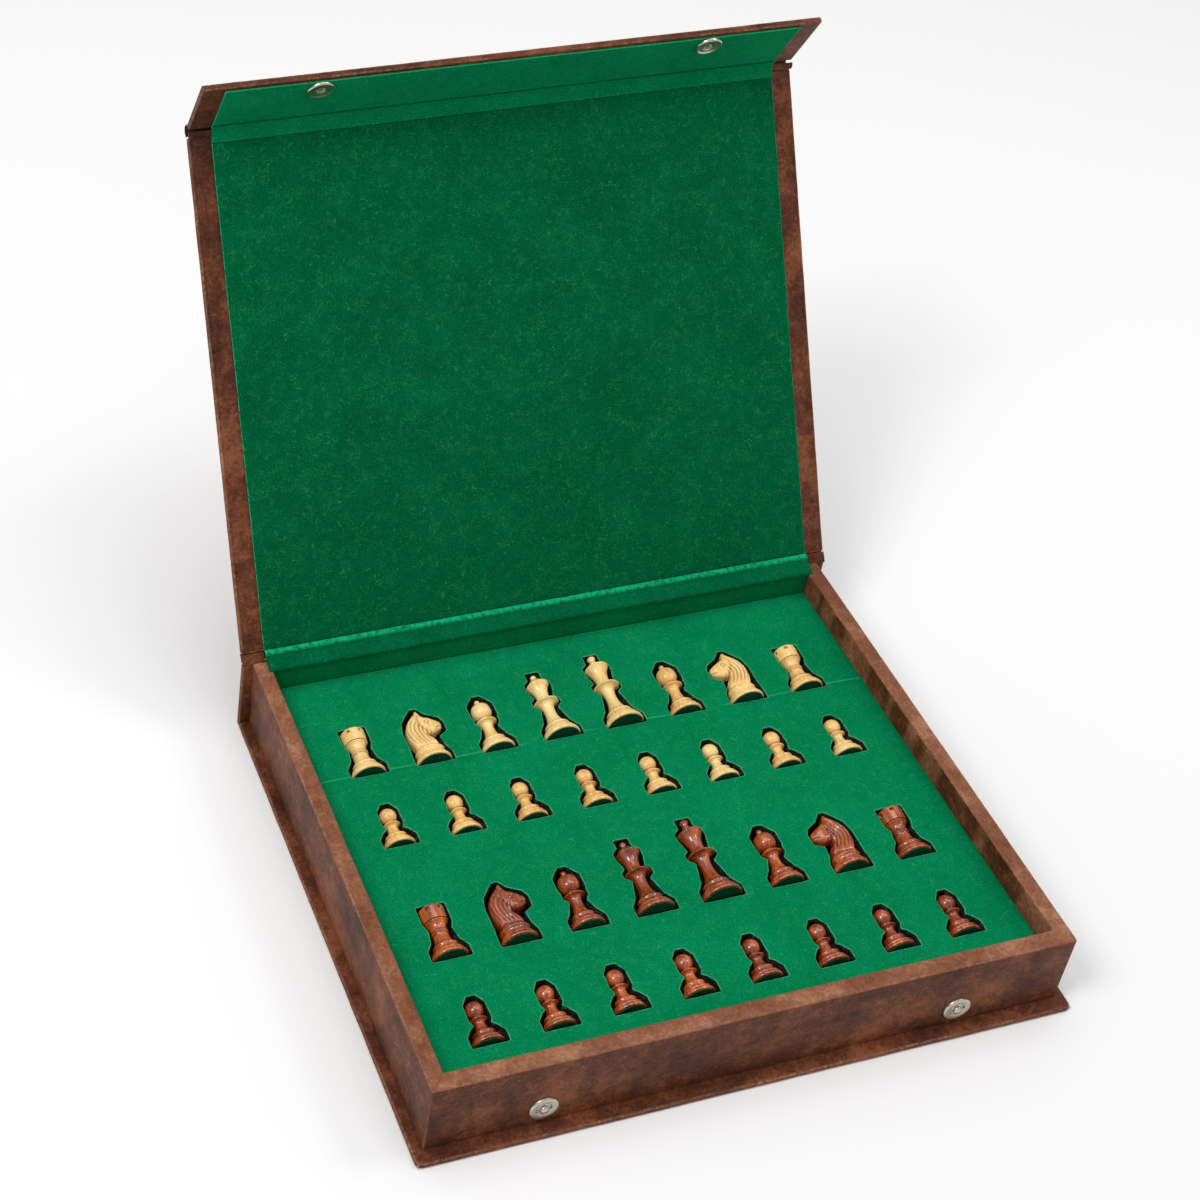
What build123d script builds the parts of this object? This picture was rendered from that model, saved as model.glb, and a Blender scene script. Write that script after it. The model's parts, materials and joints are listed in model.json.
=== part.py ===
from build123d import *

import os
from dataclasses import dataclass
from math import atan2, cos, pi, radians, sin, sqrt

# A travel chess set: a book-style coffer wrapped in leatherette, a velvet-skinned foam insert
# with 32 die-cut cavities, and the 32 chessmen lying in them. Millimetres, +Z up, +Y to the back.
# The origin is on the underside, centred left to right, at the tray's front face in Y.
# The lid is modelled where it stands open, and every size on it is given as if it were closed.

# Tray
tray_width = 400.0
tray_depth = 328.0
rim_height = 56.0
side_wall = 10.5
front_wall = 10.5
back_wall = 8.0
floor_board = 2.5
insert_drop = 17.0

# Coffer cover
side_overhang = 6.5
front_overhang = 9.0
base_board = 2.0
spine_board_thickness = 2.4
lid_board_thickness = 3.0
flap_board_thickness = 2.4
skin = 0.8
velvet = 1.2
spine_height = 54.0
turn_in = 16.5
velvet_lap = 2.0
closing_gap = 0.3

# Lid hinge and flap fold, in the closed box
lid_open_angle = 121.0
hinge_back = 2.0
hinge_rise = 1.5
lid_hinge_margin = 4.0
fold_margin = 4.0
flap_standoff = 3.5
flap_rest_fold = 61.0
flap_foot_gap = 0.4
flap_velvet_margin = 3.0
joint_gap = 0.3

# Insert
insert_clearance = 0.3
insert_velvet_thickness = 0.8
cavity_depth = 17.0
seat_gap = 0.3
cavity_margin = 1.1
cavity_head_margin = 2.2
cavity_corner = 1.2
facing_thickness = 1.0

# Chessmen: pitch across the board and the front edge of each row of cavities
file_pitch = 43.2
dark_pawn_row = 31.5
dark_officer_row = 92.0
white_pawn_row = 177.5
white_officer_row = 235.0
felt_thickness = 0.8
felt_inset = 1.0
glue_line = 0.05
foot_gap = 1.0

# A turned foot's steps, as shares of the base radius, so that all six kinds carry the same one
plinth_share = 0.24
bead_share = 0.42
cove_share = 0.64
ring_share = 0.80
bead_reach = 0.90
step_reach = 0.80
edge_bevel = 0.6
ring_bulge = 0.5
collar_edge = 0.8
crown_share = 0.82
battlement = 2.0
notch_width = 1.4
notch_count = 6

# Magnetic snaps
snap_spacing = 260.0
snap_height = 16.5
snap_radius = 9.0
snap_plate = 1.5
snap_rim = 1.2
post_radius = 2.6
post_length = 1.8
post_clearance = 0.4
shank_radius = 2.0
shank_length = 5.0
washer_radius = 6.5
washer_thickness = 0.8
socket_thickness = 1.7
magnet_radius = 6.8
magnet_thickness = 2.2
fit_gap = 0.1


@dataclass
class Chessman:
    """A turned piece's own sizes, measured along its axis from the underside of the felt."""

    height: float
    base_radius: float
    ring_radius: float
    neck_radius: float
    collar_radius: float
    collar_height: float
    head_radius: float
    lean: float


king = Chessman(59.0, 12.8, 8.3, 4.2, 8.8, 32.0, 8.0, 3.5)
queen = Chessman(53.5, 12.4, 8.0, 4.1, 8.4, 29.0, 7.6, 3.5)
bishop = Chessman(42.5, 11.3, 7.4, 3.8, 7.0, 23.5, 6.6, 4.5)
knight = Chessman(42.0, 11.9, 9.4, 7.8, 9.0, 12.6, 8.0, 3.0)
rook = Chessman(35.5, 11.5, 7.6, 5.0, 6.6, 25.0, 8.0, 4.0)
pawn = Chessman(29.5, 10.4, 6.8, 3.4, 5.6, 17.0, 5.5, 5.5)

# Heights worked out from the sizes above
base_thickness = base_board + 2 * skin
wall_foot = base_thickness + floor_board
velvet_top = rim_height - insert_drop
foam_top = velvet_top - insert_velvet_thickness
slab_top = velvet_top - cavity_depth
half_width = tray_width / 2
cover_half = half_width + side_overhang
recess_half = half_width - side_wall
recess_back = tray_depth - back_wall

# The closed lid, from its velvet face up, and the closed flap, from its velvet face forward
lid_face = rim_height + closing_gap
lid_wrap_face = lid_face + velvet
lid_top = lid_wrap_face + 2 * skin + lid_board_thickness
lid_back = tray_depth + hinge_back - lid_hinge_margin
flap_face = -flap_standoff
flap_wrap_face = flap_face - velvet
flap_front = flap_wrap_face - 2 * skin - flap_board_thickness
flap_foot = base_thickness + flap_foot_gap
fold_y = (flap_face + flap_front) / 2 + (velvet - skin)
fold_z = (lid_face + lid_top) / 2 - (velvet - skin)
lid_front = fold_y + fold_margin
flap_top = fold_z - fold_margin

hinge_axis = (0, tray_depth + hinge_back, rim_height + hinge_rise)


def turned_frame(origin, opening):
    """A frame that a closed box's own axes turn into when a panel opens by that angle."""
    turn = radians(opening)
    return Plane(origin=origin, x_dir=(1, 0, 0), z_dir=(0, sin(turn), cos(turn)))


lid_frame = turned_frame(hinge_axis, lid_open_angle)
fold_in_lid = (0, fold_y - hinge_axis[1], fold_z - hinge_axis[2])
fold_axis = lid_frame.from_local_coords(fold_in_lid)
flap_frame = turned_frame(fold_axis, lid_open_angle + 90 - flap_rest_fold)


def in_lid(y, z):
    """A closed-box point of the lid, where the open lid has it."""
    return lid_frame.from_local_coords((0, y - hinge_axis[1], z - hinge_axis[2]))


def in_flap(y, z):
    """A closed-box point of the flap, where the open, half-folded flap has it."""
    return flap_frame.from_local_coords((0, y - fold_y, z - fold_z))


def slab(half_x, y_low, y_high, z_low, z_high, mode=Mode.ADD):
    """A board in the tray's own frame."""
    board(Plane.XY.offset(z_low), half_x, y_low, y_high, z_high - z_low, mode)


def lid_slab(half_x, y_low, y_high, z_low, z_high, mode=Mode.ADD):
    """A board of the lid, its sizes given in the closed box."""
    _, axis_y, axis_z = hinge_axis
    board(lid_frame.offset(z_low - axis_z), half_x, y_low - axis_y, y_high - axis_y, z_high - z_low, mode)


def flap_slab(half_x, y_low, y_high, z_low, z_high, mode=Mode.ADD):
    """A board of the flap, its sizes given in the closed box."""
    board(flap_frame.offset(z_low - fold_z), half_x, y_low - fold_y, y_high - fold_y, z_high - z_low, mode)


def board(plane, half_x, y_low, y_high, thickness, mode):
    """A rectangle centred left to right on a plane, raised by its thickness."""
    with BuildSketch(plane) as face:
        with Locations((0, (y_low + y_high) / 2)):
            Rectangle(2 * half_x, y_high - y_low)
    extrude(face.sketch, amount=thickness, mode=mode)


def keep(part, name):
    """Label a finished sub-part and write its file."""
    part.part.label = name
    export_step(part.part, f"parts/{name}.step")


os.makedirs("parts", exist_ok=True)

# Bottom panel: a board in a leatherette wrap that is open under the tray
bottom_front = -front_overhang
window_half = half_width - turn_in

with BuildPart() as bottom_board:
    slab(cover_half - skin, bottom_front + skin, tray_depth - skin, skin, skin + base_board)
keep(bottom_board, "bottom_board")

with BuildPart() as bottom_wrap:
    slab(cover_half, bottom_front, tray_depth, 0, base_thickness)
    fillet(bottom_wrap.edges().filter_by(Axis.X).group_by(Axis.Y)[0], radius=skin)
    slab(cover_half - skin, bottom_front + skin, tray_depth - skin, skin, skin + base_board, Mode.SUBTRACT)
    slab(window_half, turn_in, tray_depth - turn_in, skin + base_board, base_thickness, Mode.SUBTRACT)
keep(bottom_wrap, "bottom_wrap")

# Spine panel: stands behind the back wall, its wrap open towards it
spine_back = tray_depth + spine_board_thickness + 2 * skin

with BuildPart() as spine_board:
    slab(cover_half - skin, tray_depth + skin, spine_back - skin, skin, spine_height - skin)
keep(spine_board, "spine_board")

with BuildPart() as spine_wrap:
    slab(cover_half, tray_depth, spine_back, 0, spine_height)
    fillet(spine_wrap.edges().filter_by(Axis.X).group_by(Axis.Y)[-1], radius=skin)
    slab(cover_half - skin, tray_depth + skin, spine_back - skin, skin, spine_height - skin, Mode.SUBTRACT)
    slab(window_half, tray_depth, tray_depth + skin, turn_in, spine_height - turn_in, Mode.SUBTRACT)
keep(spine_wrap, "spine_wrap")

# Tray floor, inside the wrap's outer skin
with BuildPart() as tray_floor:
    slab(half_width - skin, skin, tray_depth - skin, base_thickness, wall_foot)
keep(tray_floor, "tray_floor")

# Wall cores: the front one is mitred into the side ones, the back one stands between them
core_out_x = half_width - skin
core_in_x = recess_half + skin
core_top = rim_height - skin
back_core_top = rim_height - facing_thickness - skin


def front_corner(side):
    """The mitre line's two ends at one front corner."""
    return (side * core_out_x, skin), (side * core_in_x, front_wall - skin)


def snap_round(frame, radius, start, length, mode=Mode.ADD, bore=0.0):
    """A round, or a ring, at each snap, from its start along the frame's own Z."""
    with BuildSketch(frame.offset(start)) as rounds:
        with Locations(*[(side * snap_spacing / 2, 0) for side in (-1, 1)]):
            Circle(radius)
            if bore:
                Circle(bore, mode=Mode.SUBTRACT)
    extrude(rounds.sketch, amount=length, mode=mode)


# Looking out of the front wall, and out of the closed flap towards the tray
stud_frame = Plane(origin=(0, 0, snap_height), x_dir=(1, 0, 0), z_dir=(0, -1, 0))
socket_origin = in_flap(flap_face, snap_height)
socket_frame = Plane(origin=socket_origin, x_dir=(-1, 0, 0), z_dir=flap_frame.y_dir)

with BuildPart() as front_core:
    with BuildSketch(Plane.XY.offset(wall_foot)):
        with BuildLine():
            left, right = front_corner(-1), front_corner(1)
            Polyline(left[0], right[0], right[1], left[1], close=True)
        make_face()
    extrude(amount=core_top - wall_foot)
    snap_round(stud_frame, washer_radius + fit_gap, -skin - washer_thickness - fit_gap,
               washer_thickness + fit_gap, Mode.SUBTRACT)
    snap_round(stud_frame, shank_radius + fit_gap, -shank_length - fit_gap, shank_length, Mode.SUBTRACT)
keep(front_core, "tray_wall_front")

for side, name in ((-1, "tray_wall_left"), (1, "tray_wall_right")):
    with BuildPart() as side_core:
        with BuildSketch(Plane.XY.offset(wall_foot)):
            with BuildLine():
                corner = front_corner(side)
                Polyline(corner[0], (side * core_out_x, tray_depth - skin),
                         (side * core_in_x, tray_depth - skin), corner[1], close=True)
            make_face()
        extrude(amount=core_top - wall_foot)
    keep(side_core, name)

with BuildPart() as back_core:
    slab(core_in_x, recess_back + skin, tray_depth - skin, wall_foot, back_core_top)
keep(back_core, "tray_wall_back")

# Tray wrap: one skin over the walls' outer faces, rims and inner faces
rim_round = 1.5

with BuildPart() as tray_wrap:
    slab(half_width, 0, tray_depth, base_thickness, rim_height)
    fillet(tray_wrap.edges().filter_by(Axis.Z), radius=rim_round)
    slab(recess_half, front_wall, recess_back, base_thickness, rim_height, Mode.SUBTRACT)
    outer_rim = tray_wrap.edges().group_by(Axis.Z)[-1].filter_by(GeomType.LINE)
    fillet(outer_rim.filter_by(Axis.X).group_by(Axis.Y)[0], radius=skin / 2)
    slab(half_width - skin, skin, tray_depth - skin, base_thickness, wall_foot, Mode.SUBTRACT)
    with BuildSketch(Plane.XY.offset(wall_foot)):
        with BuildLine():
            left, right = front_corner(-1), front_corner(1)
            back_y = tray_depth - skin
            Polyline(left[0], right[0], (core_out_x, back_y), (core_in_x, back_y), right[1], left[1],
                     (-core_in_x, back_y), (-core_out_x, back_y), close=True)
        make_face()
    extrude(amount=core_top - wall_foot, mode=Mode.SUBTRACT)
    slab(core_in_x, recess_back + skin, tray_depth - skin, wall_foot, back_core_top, Mode.SUBTRACT)
    slab(recess_half, recess_back, tray_depth, rim_height - facing_thickness, rim_height, Mode.SUBTRACT)
    snap_round(stud_frame, shank_radius + fit_gap, -skin, skin, Mode.SUBTRACT)
keep(tray_wrap, "tray_wrap")

# Foam: a plain slab, the die-cut sheet over it and the velvet skin on top
foam_half = recess_half - insert_clearance
foam_front = front_wall + insert_clearance
foam_back = recess_back - facing_thickness - insert_clearance

with BuildPart() as foam_base:
    slab(foam_half, foam_front, foam_back, wall_foot, slab_top)
keep(foam_base, "foam_base")


def lie_back(kind):
    """How far behind its cavity's front edge a lying piece's own axis starts."""
    return foot_gap + kind.base_radius * sin(radians(kind.lean))


def cavity_outline(kind, facing):
    """A cavity's outline about the piece's own axis, from its front right corner round to the left one."""
    side = cavity_margin
    start = lie_back(kind)
    top = start + kind.height + cavity_head_margin
    plinth, ring = [start + felt_thickness + share * kind.base_radius for share in (plinth_share, ring_share)]
    half = [(kind.base_radius + side, 0), (kind.base_radius + side, plinth + 2 * side),
            (kind.ring_radius + side, ring + side)]
    if kind is knight:
        head = [(9.6, 20.8), (15.6, 24.0), (15.8, 32.0), (13.8, 36.0), (6.0, 40.5), (1.8, top)]
        mane = [(-2.0, top), (-5.6, 42.0), (-10.6, 36.0), (-12.6, 27.5), (-12.4, ring + 2 * side)]
        low = [(-x, y) for x, y in reversed(half[:2])]
        return [(facing * x, y) for x, y in half + head + mane + low]
    if kind is rook:
        waist, band = start + 0.55 * kind.height, start + 0.70 * kind.height
        half += [(kind.neck_radius + 2 * side, waist), (kind.head_radius + side, band), (kind.head_radius + side, top)]
    else:
        reach = kind.collar_radius + side
        low, high = start + kind.collar_height - 1.5 * side, start + kind.collar_height + collar_edge + 1.5 * side
        half += [(kind.neck_radius + 1.5 * side, low - 3 * side), (reach, low), (reach, high)]
        crown = kind.head_radius + side
        if kind is pawn:
            half += [(crown, high + side), (crown, top - kind.head_radius), (0.5 * kind.head_radius, top)]
        elif kind is bishop:
            cheek = top - 1.1 * kind.head_radius
            half += [(crown + side, high + 2 * side), (crown + side, cheek), (0.4 * kind.head_radius, top)]
        else:
            shoulder, finial = start + crown_share * kind.height, 0.5 * kind.head_radius + side
            half += [(0.72 * kind.head_radius + side, high + 2 * side), (crown, shoulder - 2 * side)]
            half += [(crown, shoulder + 2.5 * side), (finial, shoulder + 5 * side), (finial, top)]
    return half + [(-x, y) for x, y in reversed(half)]


file_kinds = [rook, knight, bishop, queen, king, bishop, knight, rook]
file_names = ["rook_left", "knight_left", "bishop_left", "queen", "king", "bishop_right", "knight_right",
              "rook_right"]
knight_facing = {1: 1, 6: -1}

places = []
for colour, officer_row, pawn_row in (("white", white_officer_row, white_pawn_row),
                                      ("dark", dark_officer_row, dark_pawn_row)):
    for file in range(8):
        across = (file - 3.5) * file_pitch
        facing = knight_facing.get(file, 1)
        places.append((f"{colour}_{file_names[file]}", file_kinds[file], across, officer_row, facing))
        places.append((f"{colour}_pawn_{file + 1}", pawn, across, pawn_row, 1))


with BuildSketch(Plane.XY.offset(slab_top)) as cavities:
    for _, kind, across, front, facing in places:
        outline = [(across + x, front + y) for x, y in cavity_outline(kind, facing)]
        with BuildLine():
            FilletPolyline(*outline, radius=cavity_corner, close=True)
        make_face()

with BuildPart() as foam_insert:
    slab(foam_half, foam_front, foam_back, slab_top, foam_top)
    extrude(cavities.sketch, amount=foam_top - slab_top, mode=Mode.SUBTRACT)
keep(foam_insert, "foam_insert")

with BuildPart() as insert_velvet:
    slab(foam_half, foam_front, foam_back, foam_top, velvet_top)
    extrude(cavities.sketch, amount=velvet_top - slab_top, mode=Mode.SUBTRACT)
keep(insert_velvet, "insert_velvet")

# Velvet facing on the back wall: its inner face above the insert, and its top
with BuildPart() as back_facing:
    with BuildSketch(Plane.YZ.offset(-foam_half)):
        with BuildLine():
            face_y = recess_back - facing_thickness
            Polyline((face_y, velvet_top - insert_velvet_thickness), (recess_back, velvet_top - insert_velvet_thickness),
                     (recess_back, rim_height - facing_thickness), (tray_depth, rim_height - facing_thickness),
                     (tray_depth, rim_height), (face_y, rim_height), close=True)
        make_face()
    extrude(amount=2 * foam_half)
keep(back_facing, "back_wall_velvet")

# Lid: board, wrap with its turn-ins, and the velvet panel with a step that fills the wrap's window
cover_velvet_half = cover_half - turn_in + velvet_lap
cover_window_half = cover_half - turn_in
lid_board_low = lid_wrap_face + skin
lid_window_front = lid_front + velvet_lap
lid_window_back = lid_back - velvet_lap

with BuildPart() as lid_board:
    lid_slab(cover_half - skin, lid_front + skin, lid_back - skin, lid_board_low, lid_top - skin)
keep(lid_board, "lid_board")

with BuildPart() as lid_wrap:
    lid_slab(cover_half, lid_front, lid_back, lid_wrap_face, lid_top)
    fillet(lid_wrap.edges().filter_by(Axis(lid_frame.origin, lid_frame.y_dir)), radius=skin / 2)
    lid_slab(cover_half - skin, lid_front + skin, lid_back - skin, lid_board_low, lid_top - skin, Mode.SUBTRACT)
    lid_slab(cover_window_half, lid_window_front, lid_window_back, lid_wrap_face, lid_board_low, Mode.SUBTRACT)
keep(lid_wrap, "lid_wrap")

with BuildPart() as lid_velvet:
    lid_slab(cover_velvet_half, lid_front, lid_back, lid_face, lid_wrap_face)
    lid_slab(cover_window_half, lid_window_front, lid_window_back, lid_wrap_face, lid_board_low)
keep(lid_velvet, "lid_velvet")

# Flap: the same three layers, with round pockets behind the snap sockets
flap_board_face = flap_wrap_face - skin
flap_window_foot = flap_foot + flap_velvet_margin + velvet_lap
flap_window_top = flap_top - velvet_lap
magnet_room = magnet_radius + fit_gap

with BuildPart() as flap_board:
    flap_slab(cover_half - skin, flap_front + skin, flap_board_face, flap_foot + skin, flap_top - skin)
    snap_round(socket_frame, magnet_room, -magnet_thickness - fit_gap, magnet_thickness + fit_gap, Mode.SUBTRACT)
keep(flap_board, "flap_board")

with BuildPart() as flap_wrap:
    flap_slab(cover_half, flap_front, flap_wrap_face, flap_foot, flap_top)
    fillet(flap_wrap.edges().filter_by(Axis(flap_frame.origin, flap_frame.z_dir)), radius=skin / 2)
    flap_slab(cover_half - skin, flap_front + skin, flap_board_face, flap_foot + skin, flap_top - skin,
              Mode.SUBTRACT)
    flap_slab(cover_window_half, flap_board_face, flap_wrap_face, flap_window_foot, flap_window_top,
              Mode.SUBTRACT)
keep(flap_wrap, "flap_wrap")

with BuildPart() as flap_velvet:
    flap_slab(cover_velvet_half, flap_wrap_face, flap_face, flap_foot + flap_velvet_margin, flap_top)
    flap_slab(cover_window_half, flap_board_face, flap_wrap_face, flap_window_foot, flap_window_top)
    snap_round(socket_frame, magnet_room, -velvet - skin, velvet + skin, Mode.SUBTRACT)
keep(flap_velvet, "flap_velvet")

# Soft joints, as they stand with the lid open and the flap half folded
def strip(half_x, *corners):
    """A strip across the box whose section has these corners, in the YZ plane."""
    with BuildSketch(Plane.YZ.offset(-half_x)) as section:
        with BuildLine():
            Polyline(*[(point.Y, point.Z) for point in corners], close=True)
        make_face()
    extrude(section.sketch, amount=2 * half_x)


spine_lip = spine_height + joint_gap
leather_end = lid_back + joint_gap

with BuildPart() as lid_hinge_leather:
    strip(cover_half, Vector(0, spine_back - skin, spine_lip), Vector(0, spine_back, spine_lip),
          in_lid(leather_end, lid_top), in_lid(leather_end, lid_top - skin))
keep(lid_hinge_leather, "lid_hinge_leather")

web_foot_y = recess_back + velvet_lap
web_foot_z = rim_height + joint_gap

with BuildPart() as lid_hinge_velvet:
    strip(cover_velvet_half, Vector(0, web_foot_y, web_foot_z), Vector(0, web_foot_y + velvet, web_foot_z),
          in_lid(leather_end, lid_face + skin), in_lid(leather_end, lid_face))
keep(lid_hinge_velvet, "lid_hinge_velvet")


def fold_strip(half_x, lid_point, flap_point, outer, way):
    """A strip bent round the fold's axis from the lid to the flap, by the outside (1) or the inside (-1)."""
    start, end = [atan2(point.Z - fold_axis.Z, point.Y - fold_axis.Y) for point in (lid_point, flap_point)]
    sweep = way * ((way * (end - start)) % (2 * pi))
    with BuildSketch(Plane.YZ.offset(-half_x)) as section:
        with BuildLine():
            ends = []
            for radius in (outer, outer - skin):
                turns = [start + share * sweep for share in (0, 0.5, 1)]
                bend = [(fold_axis.Y + radius * cos(turn), fold_axis.Z + radius * sin(turn)) for turn in turns]
                ThreePointArc(*bend)
                ends.append(bend)
            Line(ends[0][0], ends[1][0])
            Line(ends[0][-1], ends[1][-1])
        make_face()
    extrude(section.sketch, amount=2 * half_x)


lid_end = lid_front - joint_gap
flap_end = flap_top + joint_gap
velvet_over_skin = velvet - skin

with BuildPart() as flap_hinge_leather:
    fold_strip(cover_half, in_lid(lid_end, lid_top), in_flap(flap_front, flap_end), fold_margin + skin, 1)
keep(flap_hinge_leather, "flap_hinge_leather")

with BuildPart() as flap_hinge_velvet:
    fold_strip(cover_velvet_half, in_lid(lid_end, lid_face), in_flap(flap_face, flap_end),
               fold_margin + velvet_over_skin, -1)
keep(flap_hinge_velvet, "flap_hinge_velvet")

# Snaps: studs on the front wall with washers behind the skin, sockets on the flap with ring magnets
plate_hollow = 0.5
dome_round = 0.9


def snap_dish(frame, thickness, bore):
    """A round plate with a raised rim at each snap."""
    snap_round(frame, snap_radius, 0, thickness - plate_hollow, bore=bore)
    snap_round(frame, snap_radius, thickness - plate_hollow, plate_hollow, bore=snap_radius - snap_rim)


with BuildPart() as studs:
    snap_dish(stud_frame, snap_plate, 0)
    snap_round(stud_frame, post_radius, 0, snap_plate - plate_hollow + post_length)
    fillet(studs.edges().filter_by(GeomType.CIRCLE).group_by(Axis.Y)[0], radius=dome_round)
    snap_round(stud_frame, shank_radius, -shank_length, shank_length)
keep(studs, "snap_studs")

with BuildPart() as washers:
    snap_round(stud_frame, washer_radius, -skin - washer_thickness, washer_thickness, bore=shank_radius + fit_gap)
keep(washers, "snap_stud_washers")

socket_bore = post_radius + post_clearance

with BuildPart() as sockets:
    snap_dish(socket_frame, socket_thickness, socket_bore)
keep(sockets, "snap_sockets")

with BuildPart() as magnets:
    snap_round(socket_frame, magnet_radius, -magnet_thickness, magnet_thickness, bore=socket_bore)
keep(magnets, "snap_magnets")

# Chessmen, each turned standing on its felt, then laid in its cavity


def hollow(start, end, depth):
    """A concave or convex arc between two profile points, bowed away from the chord by a share of it."""
    (r0, z0), (r1, z1) = start, end
    middle = ((r0 + r1) / 2 - depth * (z1 - z0), (z0 + z1) / 2 + depth * (r1 - r0))
    ThreePointArc(start, middle, end)
    return end


def foot(kind):
    """The foot's half profile, from the axis up to the top of its ring; it returns where it ends."""
    edge = kind.base_radius
    low = felt_thickness
    plinth, bead, cove, ring = [low + share * edge for share in (plinth_share, bead_share, cove_share, ring_share)]
    shoulder = (edge, plinth - edge_bevel)
    Polyline((0, low), (edge - edge_bevel, low), (edge, low + edge_bevel), shoulder, (bead_reach * edge, plinth))
    step = hollow((bead_reach * edge, plinth), (step_reach * edge, bead), -0.25)
    Line(step, (step_reach * edge - ring_bulge, bead))
    base = hollow((step_reach * edge - ring_bulge, bead), (kind.ring_radius, cove), 0.12)
    return hollow(base, (kind.ring_radius - ring_bulge, ring), -0.35)


def stem(kind, start):
    """The stem's hollow and the collar over it; it returns where the collar ends."""
    foot_of_stem = (start[0] - ring_bulge, start[1])
    Line(start, foot_of_stem)
    neck = hollow(foot_of_stem, (kind.neck_radius, kind.collar_height - kind.collar_radius / 2), 0.10)
    collar = hollow(neck, (kind.collar_radius, kind.collar_height), 0.14)
    edge = (kind.collar_radius, kind.collar_height + collar_edge)
    Line(collar, edge)
    return hollow(edge, (0.6 * kind.head_radius, edge[1] + 0.3 * kind.collar_radius), 0.18)


def ball(start, top, radius):
    """A ball on the axis, from where a profile meets it up to its top."""
    centre = top - radius
    meet = (start[0], centre - sqrt(radius ** 2 - start[0] ** 2))
    Line(start, meet)
    ThreePointArc(meet, (radius, centre), (0, top))


def pawn_head(kind, start):
    ball(start, kind.height, kind.head_radius)


def bishop_head(kind, start):
    knob, waist = 0.26 * kind.head_radius, kind.height - 0.48 * kind.head_radius
    widest = (kind.head_radius, (start[1] + waist) / 2)
    low_half = hollow(start, widest, -0.14)
    tip = hollow(low_half, (0.8 * knob, waist), -0.18)
    ball(tip, kind.height, knob)


def crown_head(kind, start, knob):
    shoulder = crown_share * kind.height
    cup = hollow(start, (kind.head_radius, shoulder), 0.10)
    rim = (kind.head_radius, shoulder + collar_edge)
    Polyline(cup, rim, (kind.head_radius - ring_bulge, rim[1]))
    dome = hollow((kind.head_radius - ring_bulge, rim[1]), (0.8 * knob, kind.height - 2 * knob), -0.06)
    ball(dome, kind.height, knob)


def queen_head(kind, start):
    crown_head(kind, start, 0.27 * kind.head_radius)


def king_head(kind, start):
    crown_head(kind, start, 0.36 * kind.head_radius)


def rook_head(kind, start):
    band, wall, well = kind.height - 0.9 * kind.head_radius, 0.74 * kind.head_radius, kind.height - battlement
    flare = hollow(start, (kind.head_radius - ring_bulge, band), 0.12)
    Polyline(flare, (kind.head_radius, band + ring_bulge), (kind.head_radius, kind.height), (wall, kind.height),
             (wall, well), (0, well))


heads = {"pawn": pawn_head, "bishop": bishop_head, "queen": queen_head, "king": king_head, "rook": rook_head}
kinds = {"pawn": pawn, "bishop": bishop, "queen": queen, "king": king, "rook": rook, "knight": knight}
knight_half = 5.4
knight_taper = 14.0
knight_head = [(7.6, 12.4), (8.5, 17.0), (3.2, 22.5), (7.0, 22.5), (10.0, 24.5), (13.5, 25.5), (14.3, 29.0),
               (12.5, 32.6), (6.4, 35.5), (2.8, 37.2), (0.6, 42.0), (-3.0, 38.6), (-7.8, 33.0), (-10.0, 26.0),
               (-10.0, 18.0), (-7.6, 12.4)]


def stand(kind, name):
    """A whole chessman, standing on its felt."""
    with BuildPart() as piece:
        with BuildSketch(Plane.XZ) as half:
            with BuildLine():
                ring = foot(kind)
                if kind is knight:
                    Polyline(ring, (ring[0] - ring_bulge, ring[1]), (ring[0] - ring_bulge, kind.collar_height),
                             (0, kind.collar_height), (0, felt_thickness))
                elif kind is rook:
                    rook_head(kind, hollow(ring, (kind.neck_radius, kind.height / 2), 0.10))
                    Line((0, kind.height - battlement), (0, felt_thickness))
                else:
                    heads[name](kind, stem(kind, ring))
                    Line((0, kind.height), (0, felt_thickness))
            make_face()
        revolve(half.sketch, axis=Axis.Z)
        if kind is rook:
            with BuildSketch(Plane.XY.offset(kind.height - battlement)) as notches:
                with PolarLocations(kind.head_radius, notch_count):
                    Rectangle(kind.head_radius, notch_width)
            extrude(notches.sketch, amount=battlement, mode=Mode.SUBTRACT)
        if kind is knight:
            with BuildSketch(Plane.XZ) as profile:
                with BuildLine():
                    Polyline(*knight_head, close=True)
                make_face()
            extrude(profile.sketch, amount=knight_half, both=True, taper=knight_taper)
        with BuildSketch() as pad:
            Circle(kind.base_radius - felt_inset)
        extrude(pad.sketch, amount=felt_thickness - glue_line)
    return piece


standing = {id(kind): stand(kind, name) for name, kind in kinds.items()}


def lying(kind, across, front, facing):
    """Where a standing piece lies in its cavity: foot to the front, head to the back and slightly raised."""
    tilt = radians(kind.lean)
    foot_z = slab_top + seat_gap + kind.base_radius * cos(tilt)
    foot_place = (across, front + lie_back(kind), foot_z)
    return Plane(origin=foot_place, x_dir=(facing, 0, 0), z_dir=(0, cos(tilt), sin(tilt)))


for name, kind, across, front, facing in places:
    with BuildPart() as chessman:
        with Locations(lying(kind, across, front, facing)):
            add(standing[id(kind)].part)
    keep(chessman, name)
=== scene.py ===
import json
from math import atan2, cos, pi, radians, sin, sqrt

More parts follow.
